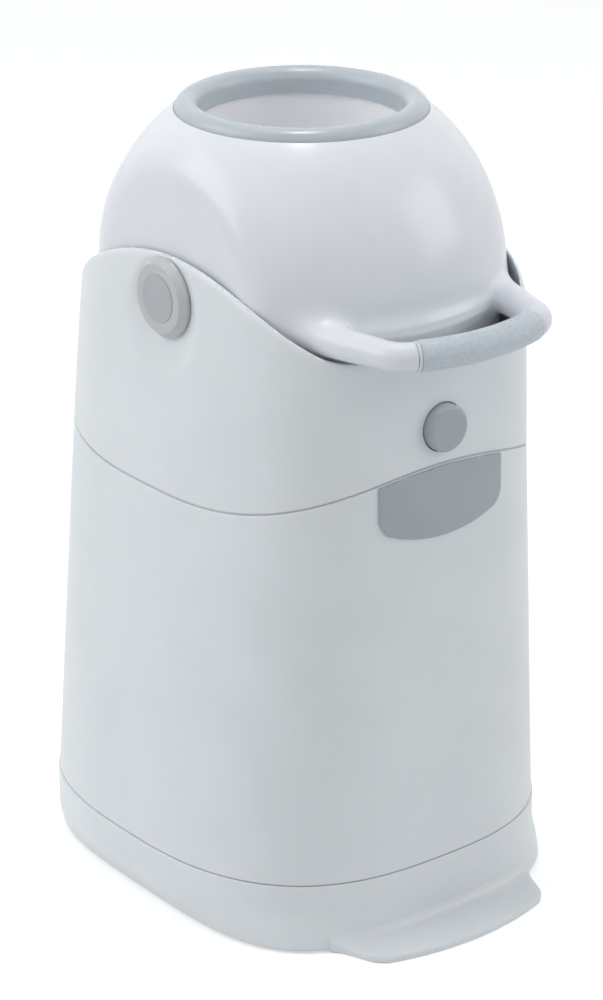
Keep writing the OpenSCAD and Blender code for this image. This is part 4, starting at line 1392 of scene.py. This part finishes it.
@dataclass
class Head:
    """Head with its two ears, the deck, the bearings and the latch."""

    shop: Workshop
    plan: Plan
    seam: Seam
    wall: float = 3.0
    rim_z: float = 452.0
    ear_r: float = 222.0
    ear_z: float = 282.0
    ear_shift: float = 7.0
    rim_soft: float = 9.0
    rim_round: float = 2.2
    rim_tall: float = 2.6
    rebate: float = 4.5
    lip: float = 2.3
    lip_end: float = 108.0
    lip_run: float = 12.0
    dish_floor: float = 122.8
    dish_r: float = 31.5
    dish_slope: float = 3.2 / 9.0
    boss_inner: float = 120.4
    boss_r: float = 43.5
    boss_slope: float = 1.2
    dish_soft: float = 1.2
    dish_near: float = 62.0
    dish_side: float = 90.0
    hole_r: float = 18.5
    hole_z: float = 394.0
    bore_r: float = 12.9
    front_y: float = -162.0

    def build(self) -> None:
        """Make and dress every piece of the head."""
        self.shell()
        finishes = self.shop.finishes
        self.shop.round_off(Body.HEAD, finishes.shell, 0.9, "head_hinge")
        self.shop.dress(finishes.inner, "head_deck")
        self.shop.dress(finishes.acetal, "bushing_left", "bushing_right")
        self.shop.dress(finishes.grey, "button_guide")
        self.shop.round_off(Body.HEAD, finishes.grey, 0.4, "latch_bracket_left", "latch_bracket_right")
        self.shop.dress(finishes.steel, "latch_pin")
        self.shop.round_off(Body.LATCH, finishes.grey, 0.5, "latch_lever")

    def rim(self, phi: np.ndarray) -> np.ndarray:
        """Follow the head's upper edge, with an ear on each side.

        Args:
            phi: angles of the columns.

        Returns:
            The height at each angle.
        """
        z = np.full_like(phi, 470.0)
        for _ in range(12):
            y = self.plan.wall(phi, z)[:, 1]
            ear = self.ear_z + np.sqrt(np.maximum(self.ear_r**2 - (y + self.ear_shift) ** 2, 1.0))
            z = -smooth_min(-ear, np.full_like(ear, -self.rim_z), self.rim_soft)
        return z

    def dished(self, row: Points, outer: bool) -> Points:
        """Press the round dish of the hub, or the boss behind it, into a row.

        Args:
            row: points of one row, which are changed.
            outer: True on the outer face, False on the inner one.

        Returns:
            The same points.
        """
        near = (np.abs(row[:, 1]) < self.dish_near) & (np.abs(row[:, 0]) > self.dish_side)
        radius = np.hypot(row[:, 1], row[:, 2] - self.shop.pivot_z)
        if outer:
            level = self.dish_floor + np.maximum(radius - self.dish_r, 0) * self.dish_slope
        else:
            level = self.boss_inner + np.maximum(radius - self.boss_r, 0) * self.boss_slope
        pressed = smooth_min(np.abs(row[:, 0]), level, self.dish_soft)
        row[near, 0] = np.sign(row[near, 0]) * pressed[near]
        return row

    def shell(self) -> None:
        """Make the head's wall with its ears, dishes and bores."""
        phi = spread(self.plan, 473.0, coarse=2.4, fine=1.3, near=58.0)
        low = self.seam.height(self.plan, phi, self.seam.gap)
        high = self.rim(phi)
        shares = np.concatenate([np.linspace(0, 0.5, 24), np.linspace(0.5, 1, 62)[1:]])
        sideways = np.abs(self.plan.wall(phi, high, self.wall)[:, 0])
        turned_in = self.lip * np.clip((self.lip_end - sideways) / self.lip_run, 0, 1)
        rows = shell_rows(
            self.plan, phi, low, high, self.wall, (0.9, self.rim_round), shares, rebate=self.rebate,
            tall=self.rim_tall, turned_in=turned_in,
        )
        outer = len(shares) + 6
        rows = [self.dished(row, i < outer) for i, row in enumerate(rows)]
        faces = grid_faces(len(rows), len(phi), ends_meet=True)
        piece = self.shop.mesh("head_wall", np.concatenate(rows), faces)
        cutters = []
        for name, radius, reach, axis, centre in (
            ("hole_cutter", self.hole_r, 40, Axis.Y, (0, self.front_y, self.hole_z)),
            ("bore_cutter", self.bore_r, 300, Axis.X, (0, 0, self.shop.pivot_z)),
        ):
            bar = np.array([(0, -reach), (radius, -reach), (radius, reach), (0, reach)])
            cutters.append(lathe(self.shop, name, bar, axis, centre, closed=False))
        self.shop.cut(piece, cutters)
        self.shop.finish(piece, Body.HEAD, self.shop.finishes.shell, "head_shell")


@dataclass
class Button:
    """Round push button with its stem and spring."""

    shop: Workshop
    z: float = 394.0
    length: float = 12.8
    radius: float = 17.6
    edge: float = 3.2
    flange_r: float = 19.5
    recess_r: float = 13.7
    face_t: float = 4.8
    travel: float = 4.0

    def build(self) -> None:
        """Make and dress the button's pieces."""
        depth = self.length
        face_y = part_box("button_cap")[0].y / MM - self.shop.axis_y
        corners = [
            (0, 0.25, 0), (self.radius - 5.0, 0.1, 6), (self.radius - 3.4, 0, 1.0),
            (self.radius, 0, self.edge), (self.radius, depth - 1.1, 0.2),
            (self.flange_r, depth - 1.0, 0.3), (self.flange_r, depth, 0.2),
            (self.recess_r, depth, 0.3), (self.recess_r, self.face_t, 1.0), (0, self.face_t, 0),
        ]
        profile = rounded(corners, closed=False, steps=8)
        piece = lathe(
            self.shop, "push_button", profile, Axis.Y, (0, face_y, self.z), closed=False, segments=128
        )
        finishes = self.shop.finishes
        self.shop.finish(piece, Body.BUTTON, finishes.grey, "button_cap")
        self.shop.dress(finishes.grey, "button_stem")
        self.spring()

    def spring(self) -> None:
        """Make the coil spring, which the button squeezes against its guide."""
        piece = self.shop.soften("button_spring", 0.05, 1)
        self.shop.finish(piece, Body.HEAD, self.shop.finishes.steel, "button_spring")
        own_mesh(piece)


@dataclass
class Drum:
    """Turning drum: two half shells, end rings, chamber tube, handle and hubs."""

    shop: Workshop
    radius: float = 151.0
    flat: float = 117.0
    edge: float = 40.0
    wall: float = 3.0
    opening_r: float = 93.0
    ring_axis_r: float = 83.2
    ring_r: float = 9.2
    ring_centre: float = 117.76
    ring_foot_r: float = 92.3
    ring_gap: float = 0.1
    neck_r: float = 87.8
    neck_bore: float = 74.0
    tube_half: float = 107.96
    tube_bore: float = 77.0
    tube_wall: float = 2.5
    bow_r: float = 150.0
    reach: float = 205.5
    drop: float = 5.0
    bow_angle: float = 22.0
    arm_angle: float = 76.0
    elbow_r: float = 20.0
    arm_r: float = 10.4
    arm_root_r: float = 13.0
    arm_run: float = 84.0
    fillet: float = 20.0
    handle_sunk: float = 0.06
    handle_skin: float = 5.0
    handle_space: tuple[Sequence[float], Sequence[float]] = ((-126, -226, -52), (126, -38, 52))
    handle_mesh: float = 1.9
    brim_fillet: float = 5.0
    brim_rear: float = 40.0
    brim_r: float = 152.6
    brim_half_w: float = 92.0
    brim_t: float = 4.0
    grip_angle: float = 20.2
    grip_ring_angle: float = 0.7
    collar_gap: float = 0.06
    grip_r: float = 11.2
    hub_back: float = 123.6
    hub_t: float = 6.9
    hub_r: float = 30.0
    hub_face_r: float = 25.0
    hub_bore_r: float = 9.1
    disc_r: float = 17.6
    round_axis_x: float = field(init=False)
    round_axis_r: float = field(init=False)
    rule: NodeTree = field(init=False)

    def __post_init__(self) -> None:
        """Place the centre of the round between the ball and its flat sides."""
        self.round_axis_x = self.flat - self.edge
        self.round_axis_r = math.sqrt((self.radius - self.edge) ** 2 - self.round_axis_x**2)

    def build(self) -> None:
        """Make and dress every piece of the drum."""
        self.rule = drum_tree()
        self.half("drum_cap_upper", 1, "drum_upper")
        self.half("drum_cap_lower", -1, "drum_lower")
        self.ring("end_ring_upper", 1, "ring_top")
        self.ring("end_ring_lower", -1, "ring_bottom")
        self.tube()
        self.handle()
        self.grip()
        for side in Side:
            self.hub(side)

    def distance(self, p: Points) -> np.ndarray:
        """Measure points against the drum.

        Args:
            p: the points.

        Returns:
            How far each lies outside the drum.
        """
        x = np.abs(p[:, 0])
        rho = np.hypot(p[:, 1], p[:, 2] - self.shop.pivot_z)
        sphere = np.hypot(x, rho) - self.radius
        torus = np.hypot(x - self.round_axis_x, rho - self.round_axis_r) - self.edge
        plane = x - self.flat
        on_round = x * self.round_axis_r > rho * self.round_axis_x
        return np.where(on_round, np.where(rho < self.round_axis_r, plane, torus), sphere)

    def half(self, name: str, sign: int, node: str) -> None:
        """Make one half shell of the drum.

        Args:
            name: name of the piece.
            sign: 1 for the upper half, -1 for the lower.
            node: CAD node that it replaces.
        """
        apart = self.round_axis_x**2 + self.round_axis_r**2 - self.edge**2
        piece = self.shop.grow(
            name, self.rule,
            {
                "Radius": self.radius * MM, "Flat": self.flat * MM, "Round Place": self.round_axis_x * MM,
                "Round Radius": self.round_axis_r * MM, "Round Offset": apart * MM * MM,
                "Round Cosine": self.round_axis_x / (self.radius - self.edge),
                "Flat Cosine": self.flat / math.hypot(self.flat, self.round_axis_r),
                "Wall": self.wall * MM, "Opening Angle": math.asin(self.opening_r / self.radius),
                "Joint": (0.05 - sign * self.drop) * MM, "Side": float(sign),
                "Centre": (0.0, self.shop.axis_y * MM, self.shop.pivot_z * MM),
                "Rows": 136, "Columns": 288, "Finish": self.shop.material(self.shop.finishes.drum),
            },
        )
        self.shop.finish(piece, Body.DRUM, self.shop.finishes.drum, node)

    def ring(self, name: str, sign: int, node: str) -> None:
        """Make one end ring with a short upright foot outside and a neck down to the tube.

        Args:
            name: name of the piece.
            sign: 1 for the upper ring, -1 for the lower.
            node: CAD node that it replaces.
        """
        arc = np.radians(np.linspace(180, 12, 36))
        outer = np.stack(
            [self.ring_axis_r + self.ring_r * np.cos(arc), self.ring_centre + self.ring_r * np.sin(arc)], -1
        )
        foot = [[self.ring_foot_r, self.ring_centre + 1.4], [self.ring_foot_r, self.ring_centre - 3.0]]
        low = self.tube_half + self.ring_gap
        neck = [[self.neck_r, low], [self.neck_bore, low]]
        profile = np.concatenate([outer, foot, neck])
        profile[:, 1] *= sign
        piece = lathe(self.shop, name, profile, Axis.Z, (0, 0, self.shop.pivot_z), segments=240)
        self.shop.finish(piece, Body.DRUM, self.shop.finishes.ring, node)

    def tube(self) -> None:
        """Make the chamber tube, in a lighter copy of the inner polypropylene that paints light into the
        well.
        """
        outer = self.tube_bore + self.tube_wall
        corners = [
            (self.tube_bore, -self.tube_half, 0.4), (outer, -self.tube_half, 0.4),
            (outer, self.tube_half, 0.4), (self.tube_bore, self.tube_half, 0.4),
        ]
        profile = rounded(corners, closed=True, steps=4)
        piece = lathe(self.shop, "chamber_liner", profile, Axis.Z, (0, 0, self.shop.pivot_z), segments=180)
        self.shop.finish(piece, Body.DRUM, self.shop.finishes.liner, "chamber_tube")

    def path(self) -> tuple[Points, np.ndarray]:
        """Return the middle line of one handle arm and its radius at each point."""
        bow_y = self.bow_r - self.reach
        a = np.radians(np.linspace(self.grip_angle + self.grip_ring_angle, self.bow_angle, 4))
        bow = np.stack([self.bow_r * np.sin(a), bow_y - self.bow_r * np.cos(a)], -1)
        turn = math.radians(self.bow_angle)
        inner = self.bow_r - self.elbow_r
        centre = np.array([inner * math.sin(turn), bow_y - inner * math.cos(turn)])
        a = np.radians(np.linspace(self.bow_angle, self.arm_angle, 12))[1:]
        elbow = centre + self.elbow_r * np.stack([np.sin(a), -np.cos(a)], -1)
        end = math.radians(self.arm_angle)
        s = np.linspace(0, self.arm_run, 10)[1:, None]
        arm = elbow[-1] + s * np.array([math.cos(end), math.sin(end)])
        line = np.concatenate([bow, elbow, arm])
        radius = np.full(len(line), self.arm_r)
        radius[-len(s):] += (self.arm_root_r - self.arm_r) * (s[:, 0] / self.arm_run)
        return line, radius

    def handle(self) -> None:
        """Make the handle's arms and brim, which flow into the drum."""
        line, radius = self.path()
        start = line[1] - line[0]
        start = start / np.linalg.norm(start)

        def shape(p: Points) -> np.ndarray:
            """Return the distance of points p to the arms and the brim, blended into the drum."""
            x, y, z = np.abs(p[:, 0]), p[:, 1], p[:, 2] - self.shop.pivot_z + self.drop
            arms = np.full(len(p), 1e3)
            for i in range(len(line) - 1):
                a, b = line[i], line[i + 1]
                run = b - a
                t = np.clip(((x - a[0]) * run[0] + (y - a[1]) * run[1]) / (run @ run), 0, 1)
                gap = np.sqrt((x - a[0] - t * run[0]) ** 2 + (y - a[1] - t * run[1]) ** 2 + z**2)
                arms = np.minimum(arms, gap - radius[i] - t * (radius[i + 1] - radius[i]))
            cap = -((x - line[0, 0]) * start[0] + (y - line[0, 1]) * start[1])
            arms = round_overlap([arms, cap], 0.8)
            edge = np.hypot(p[:, 0], y) - self.brim_r
            outline = round_overlap([edge, x - self.brim_half_w, y + self.brim_rear], 3.0)
            brim = round_overlap([outline, np.abs(z) - self.brim_t / 2], 1.2)
            arms = smooth_union(arms, brim, self.brim_fillet)
            drum = self.distance(p) + self.handle_sunk
            body = smooth_union(arms, drum, self.fillet)
            return np.maximum(np.maximum(body, arms - 0.85 * self.fillet), -drum - self.handle_skin)

        low, high = (np.array([x, y, self.shop.pivot_z + z]) for x, y, z in self.handle_space)
        points, faces = skin(shape, low, high, self.handle_mesh)
        piece = self.shop.mesh("handle_arms", points, faces, 50.0)
        self.match_normals(piece, shape)
        self.shop.finish(piece, Body.DRUM, self.shop.finishes.drum, "handle_bail")

    def match_normals(self, piece: Object, shape: Distance) -> None:
        """Shade a piece by the slope of its shape, so that its thin edge doesn't show on the drum.

        Args:
            piece: the mesh object.
            shape: distance to its surface.
        """
        place = np.zeros(len(piece.data.vertices) * 3)
        piece.data.vertices.foreach_get("co", place)
        points = place.reshape(-1, 3) / MM - np.array([0.0, self.shop.axis_y, 0.0])
        shifts = 0.2 * np.eye(3)
        slope = np.stack([shape(points + shift) - shape(points - shift) for shift in shifts], -1)
        size = np.linalg.norm(slope, axis=1, keepdims=True)
        normals = slope / np.maximum(size, 1e-9)
        piece.data.normals_split_custom_set_from_vertices(normals.tolist())

    def grip(self) -> None:
        """Make the soft grip and its two end rings along the handle's bow."""
        tree = sleeve_tree()
        finishes = self.shop.finishes
        bow_y = self.shop.axis_y + self.bow_r - self.reach
        centre = np.array([0.0, bow_y, self.shop.pivot_z - self.drop]) * MM

        def sleeve(
            name: str, radius: float, low: float, high: float, edge: float, rows: int, look: Finish
        ) -> Object:
            """Make one sleeve between two angles of the bow."""
            return self.shop.grow(
                name, tree,
                {
                    "Bow Radius": self.bow_r * MM, "Start": math.radians(low - 90),
                    "Sweep": math.radians(high - low), "Radius": radius * MM, "End Round": edge * MM,
                    "Centre": tuple(centre), "Rows": rows, "Sides": 64, "Finish": self.shop.material(look),
                },
            )

        end = self.grip_angle
        piece = sleeve("grip_sleeve", self.grip_r, -end, end, 1.4, 320, finishes.grip)
        self.shop.finish(piece, Body.DRUM, finishes.grip, "handle_grip")
        for side in Side:
            edge = end + self.collar_gap
            low, high = sorted((side.value * edge, side.value * (edge + self.grip_ring_angle)))
            label = side.name.lower()
            piece = sleeve("grip_collar_" + label, self.arm_r + 0.2, low, high, 0.5, 14, finishes.drum)
            self.shop.finish(piece, Body.DRUM, finishes.drum, "grip_ring_" + label)

    def hub(self, side: Side) -> None:
        """Make one hub cap with its inlay disc, and dress the axle.

        Args:
            side: left or right.
        """
        label = side.name.lower()
        corners = [
            (self.hub_bore_r, 0, 0.2), (self.hub_r, 0, 0.3), (self.hub_r, self.hub_t / 3, 2.0),
            (self.hub_face_r + 0.6, self.hub_t, 1.5), (self.disc_r + 1.5, self.hub_t - 0.1, 0.4),
            (self.disc_r + 0.3, self.hub_t - 0.45, 0.1), (self.hub_bore_r, self.hub_t - 0.45, 0.1),
        ]
        profile = rounded(corners, closed=True, steps=7)
        profile[:, 1] = (profile[:, 1] + self.hub_back) * side.value
        piece = lathe(self.shop, "hub_knob_" + label, profile, Axis.X, (0, 0, self.shop.pivot_z))
        # The hub cap takes the lighter copy of the grey polypropylene, which paints light onto it.
        self.shop.finish(piece, Body.DRUM, self.shop.finishes.hub, "hub_cap_" + label)
        face = self.hub_t - 0.3
        corners = [
            (0, face + 0.45, 0), (self.disc_r - 2.4, face + 0.4, 0.4), (self.disc_r - 1.9, face + 0.2, 0.2),
            (self.disc_r - 1.4, face + 0.4, 0.3), (self.disc_r, face + 0.35, 0.25),
            (self.disc_r, face - 0.1, 0.1), (0, face - 0.1, 0),
        ]
        profile = rounded(corners, closed=False, steps=5)
        profile[:, 1] = (profile[:, 1] + self.hub_back) * side.value
        piece = lathe(
            self.shop, "hub_inlay_" + label, profile, Axis.X, (0, 0, self.shop.pivot_z), closed=False
        )
        self.shop.finish(piece, Body.DRUM, self.shop.finishes.disc, "hub_disc_" + label)
        self.shop.dress(self.shop.finishes.acetal, "axle_" + label)


@dataclass
class Piston:
    """Weighted piston that slides in the chamber tube."""

    shop: Workshop
    low: float = -107.46
    length: float = 105.5
    radius: float = 75.9
    step_r: float = 69.4
    step_h: float = 7.0
    end_t: float = 3.0

    def build(self) -> None:
        """Make and dress every piece of the piston."""
        self.cap("piston_lid_upper", 1, "piston_cap_top")
        self.cap("piston_lid_lower", -1, "piston_cap_bottom")
        finishes = self.shop.finishes
        self.shop.dress(finishes.inner, "piston_body")
        self.shop.dress(finishes.seal, "piston_seal_top", "piston_seal_bottom")
        self.shop.round_off(Body.PISTON, finishes.iron, 1.2, "ballast")

    def cap(self, name: str, sign: int, node: str) -> None:
        """Make one lid of the piston with its raised, rounded step.

        Args:
            name: name of the piece.
            sign: 1 for the upper lid, -1 for the lower.
            node: CAD node that it replaces.
        """
        inner = self.step_r - self.end_t
        corners = [
            (0, self.step_h - 0.4, 0), (self.step_r - 9, self.step_h, 30), (self.step_r, self.step_h, 4.0),
            (self.step_r, 0, 1.6), (self.radius, 0, 2.2), (self.radius, -self.end_t, 0.2),
            (inner, -self.end_t, 0.3), (inner, self.step_h - self.end_t, 2.0),
            (0, self.step_h - self.end_t, 0),
        ]
        profile = rounded(corners, closed=False, steps=8)
        base = self.low + self.length if sign > 0 else self.low
        profile[:, 1] = base + sign * profile[:, 1]
        piece = lathe(
            self.shop, name, profile, Axis.Z, (0, 0, self.shop.pivot_z), closed=False, segments=160
        )
        self.shop.finish(piece, Body.PISTON, self.shop.finishes.inner, node)


@dataclass
class BagRing:
    """Loose ring that holds the edge of the bag."""

    shop: Workshop
    plan: Plan
    low: float = 317.1
    height: float = 8.0
    width: float = 13.0
    outer_inset: float = 4.6
    edge: float = 1.6

    def build(self) -> None:
        """Make the frame of the ring along the tub's plan, and round and dress its tabs."""
        finishes = self.shop.finishes
        phi = spread(self.plan, self.low, coarse=2.4, fine=2.4, near=0.0)
        line = self.plan.wall(phi, self.low + self.height, self.outer_inset + self.width / 2)
        line[:, 2] = self.low + self.height / 2
        values = {
            "Width": self.width * MM, "Height": self.height * MM, "Round": self.edge * MM,
            "Finish": self.shop.material(finishes.grey),
        }
        piece = self.shop.grow("bag_frame", frame_tree(), values, line)
        self.shop.finish(piece, Body.BAG_RING, finishes.grey, "bag_ring")
        self.shop.round_off(Body.BAG_RING, finishes.grey, 0.8, "bag_tab_left", "bag_tab_right")


@dataclass
class Studio:
    """Floor, lamps, world and camera."""

    camera_place: tuple[float, float, float] = (-1.4776, -1.87785, 1.2727)
    camera_tilt: float = 67.6262
    camera_turn: float = -38.0
    lens: float = 82.416
    floor_colour: str = "#e9ebec"
    floor_glow: float = 0.42
    floor_half: float = 14.0
    world_strength: float = 0.57
    aim: tuple[float, float, float] = (0.0, 0.0, 0.32)

    def build(self) -> None:
        """Make the whole studio."""
        self.camera()
        self.floor()
        self.world()
        self.lamp("key_lamp", (-2.4, 1.3, 2.0), 2.2, 30.0)
        self.lamp("front_lamp", (2.4, -2.1, 1.7), 1.8, 19.0)
        self.lamp("top_lamp", (0.0, 0.3, 3.2), 1.6, 8.0)
        self.lamp("well_lamp", (0.0, 0.013, 2.2), 0.3, 0.14, 24.0)
        settings = bpy.context.scene.view_settings
        settings.view_transform = "Standard"

    def camera(self) -> None:
        """Set the camera at the viewing angle."""
        data = bpy.data.cameras.new("camera")
        data.sensor_fit = "VERTICAL"
        data.sensor_height = 24.0
        data.lens = self.lens
        camera = bpy.data.objects.new("camera", data)
        camera.location = self.camera_place
        camera.rotation_euler = (math.radians(self.camera_tilt), 0.0, math.radians(self.camera_turn))
        bpy.context.scene.collection.objects.link(camera)
        bpy.context.scene.camera = camera

    def seen_rays(self, tree: NodeTree) -> Source:
        """Add a node that gives 1 for rays that see the background straight or mirrored."""
        path = add_node(tree, "ShaderNodeLightPath")
        pair = add_node(
            tree, MATH, MAXIMUM, {0: path.outputs["Is Camera Ray"], 1: path.outputs["Is Glossy Ray"]}
        )
        every = add_node(tree, MATH, MAXIMUM, {0: pair, 1: path.outputs["Is Transmission Ray"]})
        return every

    def floor(self) -> None:
        """Make the floor, which keeps the shadow and reads as white."""
        data = bpy.data.meshes.new("floor")
        s = self.floor_half
        data.from_pydata([(-s, -s, 0), (s, -s, 0), (s, s, 0), (-s, s, 0)], [], [(0, 1, 2, 3)])
        floor = bpy.data.objects.new("floor", data)
        bpy.context.scene.collection.objects.link(floor)
        material = bpy.data.materials.new("floor_paper_matt")
        material.use_nodes = True
        tree = material.node_tree
        tree.nodes.clear()
        paper = add_node(tree, "ShaderNodeBsdfDiffuse", links={"Color": linear(self.floor_colour)})
        strength = add_node(tree, MATH, MULTIPLY, {0: self.seen_rays(tree), 1: self.floor_glow})
        glow = add_node(tree, "ShaderNodeEmission", links={"Color": (1, 1, 1, 1), "Strength": strength})
        both = add_node(tree, "ShaderNodeAddShader", links={0: paper, 1: glow})
        add_node(tree, "ShaderNodeOutputMaterial", links={"Surface": both})
        data.materials.append(material)
        floor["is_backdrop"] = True

    def world(self) -> None:
        """Make the white surroundings."""
        world = bpy.data.worlds.new("studio")
        world.use_nodes = True
        tree = world.node_tree
        tree.nodes.clear()
        level = add_node(
            tree, RANGE,
            links={"Value": self.seen_rays(tree), "To Min": self.world_strength, "To Max": 1.0},
        )
        sky = add_node(tree, "ShaderNodeBackground", links={"Color": (1, 1, 1, 1), "Strength": level})
        add_node(tree, "ShaderNodeOutputWorld", links={"Surface": sky})
        bpy.context.scene.world = world

    def lamp(
        self, name: str, place: tuple[float, float, float], size: float, power: float, spread: float = 180.0
    ) -> None:
        """Add one soft square lamp that looks at the middle of the bin.

        Args:
            name: name of the lamp.
            place: where it stands, in metres.
            size: edge length in metres.
            power: power in watts.
            spread: angle in degrees over which the light fans out.
        """
        data = bpy.data.lights.new(name, "AREA")
        data.spread = math.radians(spread)
        data.shape = "SQUARE"
        data.size = size
        data.energy = power
        lamp = bpy.data.objects.new(name, data)
        lamp.location = place
        way = Vector(self.aim) - Vector(place)
        lamp.rotation_euler = way.to_track_quat("-Z", "Y").to_euler()
        bpy.context.scene.collection.objects.link(lamp)


def write_sizes() -> None:
    """Work out the box of the CAD model and of the dressed one; the result is not kept."""

    def plain(box: object) -> object:
        """Return a box as plain lists."""
        if isinstance(box, (int, float)):
            return float(box)
        return [plain(part) for part in box]

    {"cad": plain(CAD_BOX), "visual": plain(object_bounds())}


def main() -> None:
    """Build the studio and every sub-assembly, and report the pieces."""
    logging.basicConfig(level=logging.INFO, format="%(name)s %(message)s")
    shop = Workshop()
    plan = Plan()
    seam = Seam()
    Studio().build()
    tub, head = Tub(shop, plan, seam), Head(shop, plan, seam)
    for part in (tub, head, Button(shop), Drum(shop), Piston(shop), BagRing(shop, plan)):
        part.build()
        LOG.info("built %s", type(part).__name__)
    if shop.waiting:
        LOG.warning("not dressed: %s", sorted(shop.waiting))
    write_sizes()


if __name__ == "__main__":
    main()
